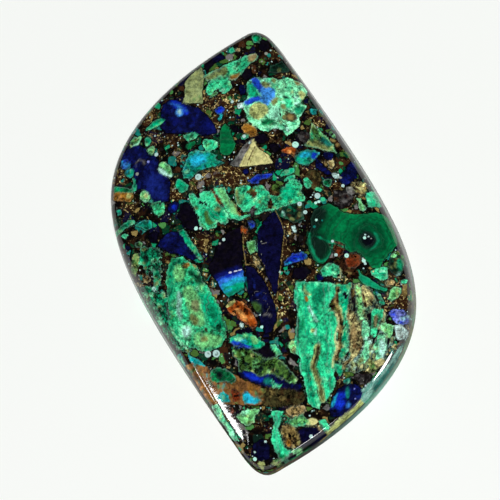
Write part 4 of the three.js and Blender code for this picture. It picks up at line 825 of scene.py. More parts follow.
def reach(outline, turns):
    """The outline's distance from the middle at any angles, on a smooth curve through its points."""
    angles, distances = outline
    count = len(angles)
    spans = np.append(angles, angles[0] + math.tau)
    after = np.searchsorted(angles, turns, side="right")
    start = (after - 1) % count
    begin = np.where(after == 0, angles[-1] - math.tau, angles[start])
    share = (turns - begin) / (spans[start + 1] - spans[start])
    p0, p1, p2, p3 = (distances[(start + step) % count] for step in (-1, 0, 1, 2))
    return p1 + 0.5 * share * (p2 - p0 + share * (2 * p0 - 5 * p1 + 4 * p2 - p3
                                                  + share * (3 * (p1 - p2) + p3 - p0)))


def rounded_solid(node):
    """A search tree of the CAD solid with its facets rounded off, for reading heights."""
    mesh = node.data.copy()
    work = bmesh.new()
    work.from_mesh(mesh)
    bmesh.ops.remove_doubles(work, verts=work.verts, dist=SAME_PLACE)
    bmesh.ops.join_triangles(work, faces=work.faces, angle_face_threshold=FLAT_ENOUGH,
                             angle_shape_threshold=SQUARE_ENOUGH)
    work.to_mesh(mesh)
    work.free()
    solid = put_in_scene("rounding", mesh)
    rounding = solid.modifiers.new("rounding", "SUBSURF")
    rounding.levels = rounding.render_levels = ROUNDING_LEVELS
    tree = BVHTree.FromObject(solid, bpy.context.evaluated_depsgraph_get())
    bpy.data.objects.remove(solid)
    bpy.data.meshes.remove(mesh)
    return tree


def spread_net(work, outline, tree):
    """The dome: a square net spread to the outline's shape and dropped onto the rounded solid."""
    bmesh.ops.create_grid(work, x_segments=TOP_CELLS[0], y_segments=TOP_CELLS[1], size=1)
    square = np.array([vertex.co for vertex in work.verts])[:, :2]
    disc = square * np.sqrt(1 - square[:, ::-1] ** 2 / 2)
    turns = np.arctan2(disc[:, 1], disc[:, 0])
    share = np.hypot(disc[:, 0], disc[:, 1])
    distance = share * (reach(outline, turns) - EDGE_INSET)
    for vertex, turn, out in zip(work.verts, turns, distance):
        place = Vector((out * math.cos(turn), out * math.sin(turn), ABOVE))
        vertex.co = tree.ray_cast(place, Vector((0, 0, -1)))[0]


def add_ring(work, edges, move):
    """One more ring of faces beyond the edges, each new vertex placed by move."""
    made = bmesh.ops.extrude_edge_only(work, edges=edges)["geom"]
    for vertex in (item for item in made if isinstance(item, bmesh.types.BMVert)):
        vertex.co = move(vertex.co)
    return [item for item in made if isinstance(item, bmesh.types.BMEdge) and item.is_boundary]


def build_stone(node):
    """The stone's mesh and the number of its faces that belong to the back."""
    outline = outline_of(node)
    work = bmesh.new()
    spread_net(work, outline, rounded_solid(node))
    rim = [edge for edge in work.edges if edge.is_boundary]

    def on_wall(steps_left):
        def move(place):
            out = math.hypot(place.x, place.y)
            edge = float(reach(outline, np.array([math.atan2(place.y, place.x)]))[0])
            grow = (out + (edge - out) / steps_left) / out
            return Vector((place.x * grow, place.y * grow, place.z + (FOOT_HEIGHT - place.z) / steps_left))
        return move

    for step in range(WALL_RINGS):
        rim = add_ring(work, rim, on_wall(WALL_RINGS - step))
    wall_faces = len(work.faces)

    def to_back(place):
        inward = 1 - FOOT_HEIGHT / math.hypot(place.x, place.y)
        return Vector((place.x * inward, place.y * inward, 0))

    rim = add_ring(work, rim, to_back)
    for step in range(BACK_RINGS):
        shrink = 1 - 1 / (BACK_RINGS + 1 - step)
        rim = add_ring(work, rim, lambda place, shrink=shrink: Vector((place.x * shrink, place.y * shrink, 0)))
    made = bmesh.ops.extrude_edge_only(work, edges=rim)["geom"]
    middle = [item for item in made if isinstance(item, bmesh.types.BMVert)]
    bmesh.ops.pointmerge(work, verts=middle, merge_co=Vector((0, 0, 0)))
    bmesh.ops.recalc_face_normals(work, faces=work.faces)
    mesh = bpy.data.meshes.new("polished stone")
    work.to_mesh(mesh)
    work.free()
    mesh.shade_smooth()
    mesh.set_sharp_from_angle(angle=SHARP_ANGLE)
    return mesh, len(mesh.polygons) - wall_faces


# ---------------------------------------------------------------------------------------------------------------
# Laying the chips on the mesh
# ---------------------------------------------------------------------------------------------------------------
# Lengths here are in millimetres.
SEED = 7  # the noise that moves outlines takes its seed from the clock unless one is set
FAR = 9.0  # no chip or line is this near
CHIP_MARGIN = 0.8  # how far outside a chip its edge is still worked out
LINE_MARGIN = 0.4
PLAIN_RAGGED = 0.1
PLAIN_BRONZE = 0.12  # how densely bronze lies where nothing packs it
PLAIN_ALONG = 45  # degrees
BAND_SHIFT = 3  # bands move on by this much for each millimetre of a chip's first corner, so that no two are alike
PACKING_ENDS = 1.4  # bronze packed round a place thins out to nothing at this many times its radius
GRIT = 0.10  # how far grit pushes the edges of stains and flecks
STAIN_SHARE = 0.97
STAIN_CALMS = 0.75  # a stain leaves this much of a chip's mottling
VEIN_TONE = 0.55  # a tinted vein is darker than its chip by this
VEIN_SHARE = 0.95
STREAK_SOFTNESS = 0.08
FLECK_EVERY = 22  # vertices of a chip for each fleck in it
FLECK_WIDTHS = (0.04, 0.24)
FLECK_LENGTH = 0.14
FLECK_SOFTNESS = 0.10
FLECK_SHARE = 0.75
BREAKS = ((1.1, 0, 0.07), (3.1, 5, 0.06))  # how a chip's sides break: scale, layer of noise, distance


def soften(corners, times):
    """Corners cut off, so that a few points give a round outline."""
    points = np.array(corners, float)
    for _ in range(times):
        after = np.roll(points, -1, axis=0)
        points = np.stack([0.75 * points + 0.25 * after, 0.25 * points + 0.75 * after], 1).reshape(-1, 2)
    return points


def depth_inside(points, corners):
    """How far each point lies inside a closed outline; outside it the distance is negative."""
    near = np.full(len(points), np.inf)
    inside = np.zeros(len(points), bool)
    for start, end in zip(corners, np.roll(corners, -1, axis=0)):
        run = end - start
        offset = points - start
        share = np.clip(offset @ run / (run @ run), 0, 1)
        near = np.minimum(near, np.hypot(*(offset - share[:, None] * run).T))
        crosses = (start[1] > points[:, 1]) != (end[1] > points[:, 1])
        rise = end[1] - start[1] if end[1] != start[1] else 1e-9
        inside ^= crosses & (points[:, 0] < start[0] + (points[:, 1] - start[1]) * run[0] / rise)
    return np.where(inside, near, -near)


class Layout:
    """What the material reads at every vertex: colours, bands, edges."""

    def __init__(self, plain, points):
        count = len(points)
        self.plain = plain
        self.points = points
        self.kind = np.full(count, -1)
        self.inset = np.full(count, -FAR)
        self.body = np.tile(linear("resin"), (count, 1))
        self.vein = np.tile(linear("resin"), (count, 1))
        self.band = np.zeros(count)
        self.strength = np.zeros((count, 2))
        self.rind = np.zeros(count)
        self.ragged = np.full(count, PLAIN_RAGGED)
        self.mark = np.full(count, -FAR)
        self.mark_colour = np.tile(linear("resin"), (count, 1))
        self.bronze = np.full(count, PLAIN_BRONZE)
        self.grit = GRIT * np.array([noise.fractal(Vector((x, y, 9)) * 1.7, 0.9, 2.0, 3) for x, y in points])

    def nearby(self, corners, margin):
        """The points in the box round the corners, with a margin."""
        low, high = corners.min(0) - margin, corners.max(0) + margin
        return np.nonzero(((self.points > low) & (self.points < high)).all(1))[0]

    def lay(self, finish, corners, extras=None):
        """One chip, over whatever is there."""
        extras = extras or {}
        body, vein, bands, mottle, rind, ragged = FINISHES[finish]
        corners = soften(corners, extras.get("soft", 0))
        spots = self.nearby(corners, CHIP_MARGIN)
        points = (self.plain if "straight" in extras else self.points)[spots]
        depth = depth_inside(points, corners)
        before = self.inset[spots]
        takes = (depth > 0) | ((before <= 0) & (depth > before))
        self.inset[spots] = np.where(depth > 0, depth,
                                     np.where(before > 0, np.minimum(before, -depth), np.maximum(before, depth)))
        taken = spots[takes]
        points = points[takes]
        if "eye" in extras:
            across = np.hypot(*(points - extras["eye"]).T)
        else:
            turn = math.radians(extras.get("along", PLAIN_ALONG))
            across = points @ np.array([-math.sin(turn), math.cos(turn)])
        self.kind[taken] = list(FINISHES).index(finish)
        self.body[taken] = linear(body)
        self.vein[taken] = linear(vein)
        self.band[taken] = across * extras.get("scale", 1.0) + corners[0, 0] * BAND_SHIFT
        self.strength[taken] = bands, mottle
        self.rind[taken] = rind
        self.ragged[taken] = ragged

    def tint(self, spots, colour, depth, softness, most=1.0):
        """Body and vein turned towards a colour, by how deep each point lies in it."""
        share = np.clip((depth + self.grit[spots]) / softness * 0.5 + 0.5, 0, 1)[:, None]
        share = most * share * share * (3 - 2 * share)
        self.body[spots] += (linear(colour) - self.body[spots]) * share
        self.vein[spots] += (linear(colour) * VEIN_TONE - self.vein[spots]) * share * VEIN_SHARE

    def stain(self, colour, corners, softness):
        """A change of colour inside a chip."""
        corners = soften(corners, 2)
        spots = self.nearby(corners, softness)
        depth = depth_inside(self.points[spots], corners)
        self.tint(spots, colour, depth, softness, STAIN_SHARE)
        self.strength[spots[depth > 0], 1] *= STAIN_CALMS

    def beside(self, width, places):
        """The points near a line through the places, and how far inside its width each one is."""
        places = np.array(places, float)
        spots = self.nearby(places, width / 2 + LINE_MARGIN)
        points = self.plain[spots]
        near = np.hypot(*(points - places[0]).T)
        for start, end in zip(places, places[1:]):
            run = end - start
            offset = points - start
            share = np.clip(offset @ run / (run @ run), 0, 1)
            near = np.minimum(near, np.hypot(*(offset - share[:, None] * run).T))
        return spots, width / 2 - near

    def streak(self, colour, width, places):
        """A soft line that tints a chip."""
        spots, depth = self.beside(width, places)
        self.tint(spots, colour, depth, STREAK_SOFTNESS)

    def fleck(self, finish, colours, draw):
        """Small flecks strewn over every chip of one finish."""
        number = list(FINISHES).index(finish)
        own = np.nonzero(self.kind == number)[0]
        for colour in draw.choice(colours, len(own) // FLECK_EVERY):
            start = self.points[draw.choice(own)]
            spots, depth = self.beside(draw.uniform(*FLECK_WIDTHS), [start, start + draw.normal(0, FLECK_LENGTH, 2)])
            mine = self.kind[spots] == number
            self.tint(spots[mine], colour, depth[mine], FLECK_SOFTNESS, FLECK_SHARE)

    def pack(self, x, y, radius, density):
        """Bronze grains packed round a place."""
        away = np.hypot(*(self.points - (x, y)).T)
        self.bronze = np.maximum(self.bronze, density * np.clip(PACKING_ENDS - away / radius, 0, 1))

    def stroke(self, colour, width, places):
        """A line through the places, or a round spot where there is only one."""
        spots, depth = self.beside(width, places)
        closer = depth > self.mark[spots]
        self.mark[spots[closer]] = depth[closer]
        self.mark_colour[spots[closer]] = linear(colour)


def wobbled(points):
    """The points pushed about a little, so that straight outlines break like stone."""
    noise.seed_set(SEED)
    moved = points.copy()
    for scale, layer, distance in BREAKS:
        push = [noise.noise_vector(Vector((x, y, layer)) * scale) for x, y in points]
        moved += distance * np.array(push)[:, :2]
    return moved


def lay_chips(points):
    """Everything in the lists above, laid in the order in which each covers the last."""
    layout = Layout(points, wobbled(points))
    for chip in CHIPS:
        layout.lay(*chip)
    draw = np.random.default_rng(SEED)
    for finish, colours in FLECKS.items():
        layout.fleck(finish, colours, draw)
    for colour, corners, softness in STAINS:
        layout.stain(colour, corners, softness)
    for colour, width, *places in STREAKS:
        layout.streak(colour, width, places)
    for colour, width, *places in MARKS:
        layout.stroke(colour, width, places)
    for x, y, radius, density in BRONZE:
        layout.pack(x, y, radius, density)
    return layout


HAZE_TOP = 1.9 * MM  # below this height the wall's unpolished skin, with its painted reflection of the pale floor, shows
HAZE_FULL = 0.9 * MM
CHIPS_FULL = 2.4 * MM  # above this height the wall continues the chips of the dome
CHIPS_END = 1.0 * MM  # below this it has other chips, as the back has
POLISH_ENDS = 0.50  # where the surface is steeper than this, by its normal's height, the polish fades
POLISH_FADES = 0.22  # how much steeper it is where the fading ends
# How much the wall has lost its polish: direction in degrees from +X, share.
WALL_WEAR = [(-125, 0.45), (-100, 1.0), (-55, 1.0), (-30, 0.70), (-10, 0.45), (180, 0.45)]
# The skin round the wall, partly its own dull tint and partly a painted reflection of the pale floor, one plain
# colour for each side: direction in degrees from +X, colour, how much it covers.
WALL_SKIN_AND_SHEEN = [
    (-180, "mist", 0.30), (-140, "jade", 0.40), (-112, "tan", 0.45), (-76, "slate", 0.45), (-50, "frost", 0.85),
    (-28, "sage", 0.55), (0, "mist", 0.50), (45, "mist", 0.60), (100, "slate", 0.15), (180, "mist", 0.30),
]


def wall_skin(places):
    """The skin's colour, partly a painted reflection of the pale floor, and how much of it covers the chips, at each
    place.
    """
    turns = np.degrees(np.arctan2(places[:, 1], places[:, 0]))
    marks, colours, covers = zip(*WALL_SKIN_AND_SHEEN)
    channels = np.array([linear(name) for name in colours]).T
    tint = np.stack([np.interp(turns, marks, channel) for channel in channels], 1)
    low = np.clip((HAZE_TOP - places[:, 2]) / (HAZE_TOP - HAZE_FULL), 0, 1)
    return tint, low * np.interp(turns, marks, covers)


def write_layout(mesh, outline):
    """Chips on the dome, run a little way down the wall, as attributes of the mesh."""
    places = np.array([vertex.co for vertex in mesh.vertices])
    out = np.hypot(places[:, 0], places[:, 1])
    edge = reach(outline, np.arctan2(places[:, 1], places[:, 0])) - EDGE_INSET
    plan = places[:, :2] * np.minimum(1, edge / np.maximum(out, 1e-9))[:, None]
    layout = lay_chips(plan / MM)
    # skin holds the wall's tint, partly its own colour and partly a painted reflection of the pale floor
    skin, haze = wall_skin(places)
    off_back = (places[:, 2] > 0.5 * FOOT_HEIGHT).astype(float)
    drawn = np.clip((places[:, 2] - CHIPS_END) / (CHIPS_FULL - CHIPS_END), 0, 1)
    level = np.array([vertex.normal.z for vertex in mesh.vertices])
    dull = off_back * np.clip((POLISH_ENDS - level) / POLISH_FADES, 0, 1)
    dull *= np.interp(np.degrees(np.arctan2(places[:, 1], places[:, 0])), *zip(*WALL_WEAR))

    def write(name, kind, field, *columns):
        attribute = mesh.attributes.new(name, kind, "POINT")
        attribute.data.foreach_set(field, np.column_stack(columns).astype("f").ravel())

    colours = (("chip_body", layout.body), ("chip_vein", layout.vein), ("mark_colour", layout.mark_colour),
               ("wall_skin", skin))
    for name, values in colours:
        write(name, "FLOAT_COLOR", "color", values, np.ones(len(values)))
    write("chip_figure", "FLOAT_VECTOR", "vector", layout.band, layout.strength)
    write("chip_edge", "FLOAT_VECTOR", "vector", layout.inset, layout.rind, layout.ragged)
    write("zones", "FLOAT_VECTOR", "vector", haze * off_back, drawn, layout.mark)
    write("dull", "FLOAT", "value", dull)
    write("bronze", "FLOAT", "value", layout.bronze)


WALL_ON_MAP = 2.2 * MM  # how far the wall is folded out round the dome on the map
MAP_SIDE = 58 * MM
MAP_FRONT = (15.5 * MM, 29 * MM)
MAP_BACK = (44.5 * MM, 29 * MM)


def unfold(mesh, back_faces):
    """A flat map: the dome with its wall folded out round it, and the back beside it."""
    places = np.array([vertex.co for vertex in mesh.vertices])
    out = np.hypot(places[:, 0], places[:, 1])
    drop = np.clip((HAZE_TOP - places[:, 2]) / (HAZE_TOP - FOOT_HEIGHT), 0, 1)
    grow = 1 + drop * WALL_ON_MAP / np.maximum(out, 1 * MM)
    corners = np.empty(len(mesh.loops), int)
    mesh.loops.foreach_get("vertex_index", corners)
    sizes = np.array([face.loop_total for face in mesh.polygons])
    on_back = np.repeat(np.arange(len(sizes)) >= len(sizes) - back_faces, sizes)
    front = places[corners, :2] * grow[corners, None] + MAP_FRONT
    back = places[corners, :2] * (-1, 1) + MAP_BACK
    spots = np.where(on_back[:, None], back, front) / MAP_SIDE
    mesh.uv_layers.new(name="OFBake").data.foreach_set("uv", spots.astype("f").ravel())


# ---------------------------------------------------------------------------------------------------------------
# Shader maths
# ---------------------------------------------------------------------------------------------------------------
def math_operator(operation, swapped=False):
    """An operator that adds one Math node."""
    def method(self, other):
        first, second = (other, self) if swapped else (self, other)
        return self.paint.value("ShaderNodeMath", {"operation": operation}, {0: first, 1: second})
    return method


class Value:
    """A socket that holds a number. Arithmetic on it adds Math nodes."""
    __add__ = __radd__ = math_operator("ADD")
    __mul__ = __rmul__ = math_operator("MULTIPLY")
    __sub__ = math_operator("SUBTRACT")
    __rsub__ = math_operator("SUBTRACT", swapped=True)
    __pow__ = math_operator("POWER")

    def __init__(self, paint, socket):
        self.paint = paint
        self.socket = socket

    def __abs__(self):
        return (self * self) ** 0.5

    def between(self, low, high):
        """0 at low, 1 at high, with a smooth step between them."""
        ends = {"Value": self, "From Min": low, "From Max": high}
        return self.paint.value("ShaderNodeMapRange", {"interpolation_type": "SMOOTHSTEP"}, ends, "Result")


class Paint:
    """A material and the nodes that are added to it."""

    def __init__(self, name):
        self.material = bpy.data.materials.new(name)
        self.material.use_nodes = True
        self.tree = self.material.node_tree
        self.surface = self.tree.nodes["Principled BSDF"]

    def node(self, kind, settings=None, values=None):
        made = self.tree.nodes.new(kind)
        for name, setting in (settings or {}).items():
            if name == "stops":
                self.set_stops(made.color_ramp, setting)
            else:
                setattr(made, name, setting)
        for name, value in (values or {}).items():
            self.feed(made.inputs[name], value)
        return made

    def set_stops(self, ramp, stops):
        while len(ramp.elements) < len(stops):
            ramp.elements.new(0.5)
        for element, (position, colour) in zip(ramp.elements, stops):
            element.position = position
            element.color = (*linear(colour), 1)

    def feed(self, socket, value):
        if isinstance(value, Value):
            value = value.socket
        if isinstance(value, bpy.types.NodeSocket):
            self.tree.links.new(value, socket)
        else:
            socket.default_value = value

    def value(self, kind, settings, values, output="Value"):
        return Value(self, self.node(kind, settings, values).outputs[output])

    def attribute(self, name, output):
        return self.node("ShaderNodeAttribute", {"attribute_name": name}).outputs[output]

    def parts(self, vector):
        split = self.node("ShaderNodeSeparateXYZ", None, {0: vector})
        return [Value(self, output) for output in split.outputs]

    def noise(self, vector, scale, detail=2.0, roughness=0.5, output="Fac"):
        values = {"Vector": vector, "Scale": scale, "Detail": detail, "Roughness": roughness}
        made = self.node("ShaderNodeTexNoise", {"noise_dimensions": "3D"}, values)
        return Value(self, made.outputs[output]) if output == "Fac" else made.outputs[output]

    def grains(self, vector, scale, feature="F1"):
        settings = {"voronoi_dimensions": "3D", "feature": feature}
        return self.node("ShaderNodeTexVoronoi", settings, {"Vector": vector, "Scale": scale}).outputs

    def cells(self, vector, scale):
        """Cells cut at random: how far each place is from its cell's middle, and three numbers for each cell."""
        made = self.grains(vector, scale)
        return Value(self, made["Distance"]), self.parts(made["Color"])

    def walls(self, vector, scale):
        """How far each place is from the wall between two cells."""
        return Value(self, self.grains(vector, scale, "DISTANCE_TO_EDGE")["Distance"])

    def mix(self, first, second, share, blend="MIX"):
        made = self.node("ShaderNodeMix", {"data_type": "RGBA", "blend_type": blend, "clamp_factor": True})
        self.feed(made.inputs[0], share)
        self.feed(made.inputs[6], first)
        self.feed(made.inputs[7], second)
        return made.outputs[2]

    def scaled(self, colour, factor):
        made = self.node("ShaderNodeVectorMath", {"operation": "SCALE"}, {0: colour, "Scale": factor})
        return made.outputs[0]

    def bent(self, vector, scale, amount):
        """The vector pushed about by noise."""
        push = self.noise(vector, scale, output="Color")
        inputs = {0: push, 1: (amount,) * 3, 2: vector}
        return self.node("ShaderNodeVectorMath", {"operation": "MULTIPLY_ADD"}, inputs).outputs[0]

    def ramp(self, value, stops, interpolation="LINEAR"):
        made = self.node("ShaderNodeValToRGB", {"stops": stops}, {"Fac": value})
        made.color_ramp.interpolation = interpolation
        return made.outputs["Color"]


def flat(name):
    return (*linear(name), 1)


# ---------------------------------------------------------------------------------------------------------------
# The stone's material
# ---------------------------------------------------------------------------------------------------------------
STONE_IOR = 1.56
POLISH_ROUGHNESS = 0.05
SMEAR_ROUGHNESS = 0.06  # added where the polish is smeared
HAZE_ROUGHNESS = 0.25  # added under the wall's skin
DULL_ROUGHNESS = 0.7
SEAM_DARKENS = 0.85  # how much darker the line is where a chip meets the resin
RIND_GLOW = 0.45  # how far a rind is lightened towards aqua
BAND_GLOW = 0.30
# Layers of crumbs in the resin: how many to a millimetre, what share of them shows, how light they are.
CRUMBS = ((0.95, 0.66, 1.05), (1.9, 0.52, 1.25))
BACK_CHIPS = 0.42  # how many to a millimetre
BACK_BANDS = 0.3
BACK_MOTTLE = 0.5
BACK_VEIN_TONE = 0.45
BRONZE_LIGHTS = [(0.0, "umber"), (0.4, "bronze"), (0.75, "tan"), (1.0, "cream")]
CRUMB_COLOURS = [
    (0.00, "bottle"), (0.10, "ink"), (0.20, "forest"), (0.30, "navy"), (0.42, "umber"), (0.50, "jade"),
    (0.58, "coal"), (0.66, "moss"), (0.73, "teal"), (0.80, "bronze"), (0.87, "leaf"), (0.93, "slate"),
]
SPECK_COLOURS = [(0.00, "tan"), (0.30, "cream"), (0.45, "bronze"), (0.60, "sage"), (0.72, "frost"), (0.82, "mist")]
BACK_COLOURS = [
    (0.00, "mint"), (0.14, "navy"), (0.26, "emerald"), (0.38, "sea"), (0.50, "ink"), (0.58, "teal"),
    (0.66, "leaf"), (0.74, "ultramarine"), (0.82, "orange"), (0.88, "jade"), (0.94, "umber"),
]


def crumbs(paint, place, under, per_mm, share, tone):
    """Broken chips too small to lay one by one, over whatever is under them."""
    bent = paint.bent(place, 3.2 * per_mm, 0.30 / per_mm)
    _, pick = paint.cells(bent, per_mm)
    inset = paint.walls(bent, per_mm) - 0.05 - 0.16 * pick[1]
    shown = inset.between(-0.02, 0.03) * pick[2].between(1 - share, 1.02 - share)
    colour = paint.ramp(pick[0], CRUMB_COLOURS, "CONSTANT")
    colour = paint.scaled(colour, tone * (0.35 + 1.3 * paint.noise(place, 5 * per_mm, 3.0, 0.65)))
    return paint.mix(under, colour, shown)


def bronze_resin(paint, place, packing):
    """Near-black resin with crumbs of every chip in it, and curls of bronze where it is packed."""
    colour = paint.mix(flat("resin"), flat("umber"), 0.6 * paint.noise(place, 1.3, 3.0).between(0.50, 0.70))
    for per_mm, share, tone in CRUMBS:
        colour = crumbs(paint, place, colour, per_mm, share, tone)
    walls = paint.walls(paint.bent(place, 3.4, 0.45), 2.0)
    sparkle = paint.noise(place, 5.0, 3.0, 0.7)
    packing = (packing + 0.5 * (paint.noise(place, 1.5, 3.0, 0.6) - 0.5)).between(0.05, 0.75)
    curls = (1 - walls.between(0.02, 0.12)) * sparkle.between(0.44, 0.52)
    grain = paint.ramp(sparkle.between(0.44, 0.66), BRONZE_LIGHTS)
    grain = paint.scaled(grain, 0.25 + 1.8 * paint.noise(place, 2.6, 3.0, 0.6).between(0.40, 0.60))
    colour = paint.mix(colour, flat("umber"), 0.7 * packing * paint.noise(place, 2.2, 2.0).between(0.35, 0.55))
    colour = paint.mix(colour, grain, curls * packing)
    middle, pick = paint.cells(paint.bent(place, 7.0, 0.10), 5.2)
    near = (0.36 - middle).between(-0.05, 0.06)
    speck = pick[0].between(0.62, 0.70) * near * paint.noise(place, 1.8, 2.0).between(0.44, 0.56)
    colour = paint.mix(colour, paint.ramp(pick[2], SPECK_COLOURS, "CONSTANT"), speck * (0.35 + 0.55 * packing))
    # The last, near-white specks are partly bubbles in the resin and partly painted glints of light off the bronze.
    return paint.mix(colour, flat("bubble"), pick[1].between(0.955, 0.965) * near * 0.9)


def chip_paint(paint, place, body, vein, band, bands, mottle, inset, rind):
    """A chip's own figure: bands, clouds, cracks, pits, threads and a pale rind. Scales are per millimetre."""
    ring = band + 0.9 * paint.noise(place, 0.9, 2.0)
    layers = paint.value("ShaderNodeTexNoise", {"noise_dimensions": "1D"},
                         {"W": ring, "Scale": 2.6, "Detail": 3.0, "Roughness": 0.6}, "Fac")
    stripes = layers.between(0.40, 0.60)
    cloud = paint.noise(place, 1.9, 5.0, 0.66).between(0.47, 0.62)
    colour = paint.mix(body, vein, bands * stripes + mottle * cloud)
    broad = paint.noise(place, 1.1, 5.0, 0.68).between(0.42, 0.58) - 0.5
    fine = paint.noise(place, 4.2, 4.0, 0.75).between(0.41, 0.59) - 0.5
    colour = paint.scaled(colour, 0.97 + (0.22 + 0.95 * mottle) * (0.85 * broad + 1.05 * fine))
    bent = paint.bent(place, 2.6, 0.5)
    cracked = (1 - paint.walls(bent, 1.0).between(0.005, 0.045)) * paint.noise(place, 0.8, 2.0).between(0.44, 0.56)
    colour = paint.scaled(colour, 1 - 1.1 * cracked * mottle)
    middle, pick = paint.cells(bent, 1.5)
    pit = (0.22 - middle).between(-0.02, 0.07) * pick[0].between(0.66, 0.72)
    colour = paint.scaled(colour, 1 - 1.3 * pit * mottle)
    ridge = paint.noise(place, 1.9, 3.0, 0.6) - 0.5
    thread = (1 - abs(ridge).between(0.004, 0.022)) * paint.noise(place, 1.1, 1.0).between(0.45, 0.60)
    colour = paint.scaled(colour, 1 + 0.8 * thread * mottle)
    crest = 1 - abs(layers - 0.56).between(0.004, 0.022)
    colour = paint.mix(colour, paint.mix(colour, flat("aqua"), BAND_GLOW, "SCREEN"), 2.2 * crest * bands * rind)
    edge = (1 - inset.between(0.02, 0.17)) * rind
    return paint.mix(colour, paint.mix(colour, flat("aqua"), RIND_GLOW, "SCREEN"), edge)


def back_chips(paint, place):
    """Chips of many colours cut across at random, for the back and the foot of the wall."""
    bent = paint.bent(place, 0.8, 1.1)
    _, pick = paint.cells(bent, BACK_CHIPS)
    body = paint.ramp(pick[0], BACK_COLOURS, "CONSTANT")
    inset = paint.walls(bent, BACK_CHIPS) * 2.4 - 0.22 - 0.5 * pick[1]
    return body, paint.scaled(body, BACK_VEIN_TONE), inset


RIPPLE = 0.004 * MM  # how far the polish undulates


def polished_stone():
    """The whole stone: chips in resin under one polish, which the wall has partly lost."""
    paint = Paint("polished_stone")
    here = paint.node("ShaderNodeTexCoord").outputs["Object"]
    place = paint.scaled(here, 1 / MM)
    band, bands, mottle = paint.parts(paint.attribute("chip_figure", "Vector"))
    inset, rind, ragged = paint.parts(paint.attribute("chip_edge", "Vector"))
    haze, drawn, mark = paint.parts(paint.attribute("zones", "Vector"))
    front = (drawn + 0.5 * (paint.noise(place, 0.8, 2.0) - 0.5)).between(0.47, 0.53)
    other_body, other_vein, other_inset = back_chips(paint, place)
    body = paint.mix(other_body, paint.attribute("chip_body", "Color"), front)
    vein = paint.mix(other_vein, paint.attribute("chip_vein", "Color"), front)
    depth = other_inset + (inset - other_inset) * front
    bands = BACK_BANDS + (bands - BACK_BANDS) * front
    mottle = BACK_MOTTLE + (mottle - BACK_MOTTLE) * front
    roughened = (depth + 0.07 + (paint.noise(place, 2.6, 3.0, 0.6) - 0.5) * (0.10 + 1.9 * ragged)
                 + (paint.noise(place, 8.5, 2.0) - 0.5) * (0.10 + 0.6 * ragged))
    chips = chip_paint(paint, place, body, vein, band, bands, mottle, roughened, rind)
    resin = bronze_resin(paint, place, Value(paint, paint.attribute("bronze", "Fac")))
    seam = 1 - SEAM_DARKENS * (1 - abs(roughened).between(0.015, 0.075))
    colour = paint.mix(resin, chips, roughened.between(-0.02, 0.03))
    colour = paint.scaled(colour, seam)
    mark = mark + 0.02 + 0.05 * (paint.noise(place, 5.0, 2.0) - 0.5)
    hollow = mark.between(0.08, 0.16) * paint.noise(place, 3.0, 2.0).between(0.40, 0.55)
    bead = paint.scaled(paint.attribute("mark_colour", "Color"), 1 - 0.55 * hollow)
    colour = paint.mix(colour, bead, mark.between(-0.02, 0.03) * front)
    # The wall's skin, partly its own tint and partly a painted reflection of the pale floor, covers the chips low on
    # the wall.
    colour = paint.mix(colour, paint.attribute("wall_skin", "Color"), haze)
    paint.feed(paint.surface.inputs["Base Color"], colour)
    smear = paint.noise(place, 6.0, 2.0).between(0.5, 0.8)
    roughness = POLISH_ROUGHNESS + SMEAR_ROUGHNESS * smear + HAZE_ROUGHNESS * haze
    paint.feed(paint.surface.inputs["Roughness"], roughness)
    ripple = paint.node("ShaderNodeBump", None, {"Strength": 1.0, "Distance": RIPPLE,
                                                 "Height": paint.noise(place, 1.6, 4.0, 0.6)})
    paint.feed(paint.surface.inputs["Normal"], ripple.outputs["Normal"])
    paint.feed(paint.surface.inputs["IOR"], STONE_IOR)
    dull = paint.node("ShaderNodeBsdfPrincipled", None, {"Base Color": colour, "Roughness": DULL_ROUGHNESS,
                                                         "Specular IOR Level": 0.0, "IOR": STONE_IOR})
    blend = paint.node("ShaderNodeMixShader", None,
                       {0: paint.attribute("dull", "Fac"), 1: paint.surface.outputs[0], 2: dull.outputs[0]})
    paint.feed(paint.tree.nodes["Material Output"].inputs["Surface"], blend.outputs[0])
    return paint.material


# ---------------------------------------------------------------------------------------------------------------
# Stage: floor, lights, camera
# ---------------------------------------------------------------------------------------------------------------
FLOOR_SIDE = 1.6
FLOOR_CELLS = 8
FLOOR_ROUGHNESS = 0.8
FLOOR_SPECULAR = 0.1
FLOOR_TONES = ((0.92, 0.945, 0.91, 1), (0.95, 0.965, 0.945, 1))
WORLD_STRENGTH = 0.02
CAMERA_TILT = math.radians(80)
CAMERA_TURN = math.radians(35)
CAMERA_AWAY = 0.18
CAMERA_NEAREST = 0.01
CAMERA_LENS = 162
CAMERA_AIM = Vector((-1.03, 0.22, 0)) * MM


def floor_paint():
    paint = Paint("pale_floor")
    here = paint.node("ShaderNodeTexCoord").outputs["Object"]
    cloud = paint.noise(here, 9.0, 2.0)
    tone = paint.mix(*FLOOR_TONES, cloud)
    paint.feed(paint.surface.inputs["Base Color"], tone)
    paint.feed(paint.surface.inputs["Roughness"], FLOOR_ROUGHNESS)
    paint.feed(paint.surface.inputs["Specular IOR Level"], FLOOR_SPECULAR)
    return paint.material


def add_floor():
    work = bmesh.new()
    bmesh.ops.create_grid(work, x_segments=FLOOR_CELLS, y_segments=FLOOR_CELLS, size=FLOOR_SIDE / 2)
    mesh = bpy.data.meshes.new("floor")
    work.to_mesh(mesh)
    work.free()
    mesh.materials.append(floor_paint())
    floor = put_in_scene("floor", mesh)


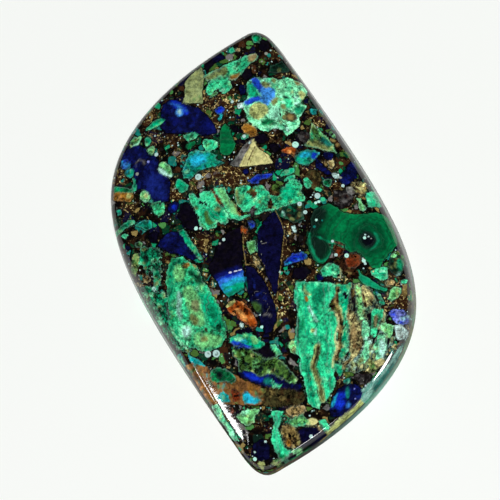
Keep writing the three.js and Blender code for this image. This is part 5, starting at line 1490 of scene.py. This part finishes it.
def add_light(name, away, turn, rise, size, power, roll=0, mirrored=True, lighting=True):
    """A soft round light that faces the middle of the back, turn degrees round from +X and rise degrees up."""
    lamp = bpy.data.lights.new(name, "AREA")
    lamp.shape = "ELLIPSE"
    lamp.size, lamp.size_y = size
    lamp.energy = power
    light = put_in_scene(name, lamp)
    turn, rise = math.radians(turn), math.radians(rise)
    toward = Vector((math.cos(turn) * math.cos(rise), math.sin(turn) * math.cos(rise), math.sin(rise)))
    light.location = toward * away
    light.rotation_euler = (toward.to_track_quat("Z", "Y") @ Quaternion((0, 0, 1), math.radians(roll))).to_euler()
    light.visible_glossy = mirrored
    light.visible_diffuse = lighting


def add_lights():
    add_light("overhead", 0.9, -55, 80, (0.16, 0.16), 8.0, mirrored=False)
    add_light("window", 0.5, -151.2, 41.0, (0.018, 0.056), 0.10, roll=-27, lighting=False)
    add_light("window end", 0.5, -154.0, 31, (0.014, 0.05), 0.04, roll=-20, lighting=False)
    add_light("window glint", 0.5, -143.2, 50.3, (0.010, 0.010), 0.006, lighting=False)
    add_light("side", 0.5, -31, 22, (0.11, 0.26), 2.2, lighting=False)
    add_light("low strip", 0.5, -57, 11, (0.10, 0.02), 0.18, lighting=False)
    world = bpy.data.worlds.new("dim studio")
    world.use_nodes = True
    background = world.node_tree.nodes["Background"].inputs
    background["Color"].default_value = (1, 1, 1, 1)
    background["Strength"].default_value = WORLD_STRENGTH
    bpy.context.scene.world = world


def add_camera():
    """Straight down but for a small tilt, with the long side of the stone upright in the picture."""
    toward = Vector((math.sin(CAMERA_TURN) * math.cos(CAMERA_TILT), -math.cos(CAMERA_TURN) * math.cos(CAMERA_TILT),
                     math.sin(CAMERA_TILT)))
    up = (Vector((0, 1, 0)) - toward * toward.y).normalized()
    right = up.cross(toward)
    lens = bpy.data.cameras.new("camera")
    lens.lens = CAMERA_LENS
    lens.clip_start = CAMERA_NEAREST
    camera = put_in_scene("camera", lens)
    turned = [[right[i], up[i], toward[i], (CAMERA_AIM + toward * CAMERA_AWAY)[i]] for i in range(3)]
    camera.matrix_world = Matrix([*turned, [0, 0, 0, 1]])
    bpy.context.scene.camera = camera


def main():
    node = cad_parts["azurite_cabochon"]
    mesh, back_faces = build_stone(node)
    write_layout(mesh, outline_of(node))
    unfold(mesh, back_faces)
    mesh.materials.append(polished_stone())
    stone = put_in_scene("polished_cabochon", mesh)
    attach(stone, "root")
    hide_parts("azurite_cabochon")
    add_floor()
    add_lights()
    add_camera()
    bpy.context.scene.view_settings.view_transform = "Standard"


main()
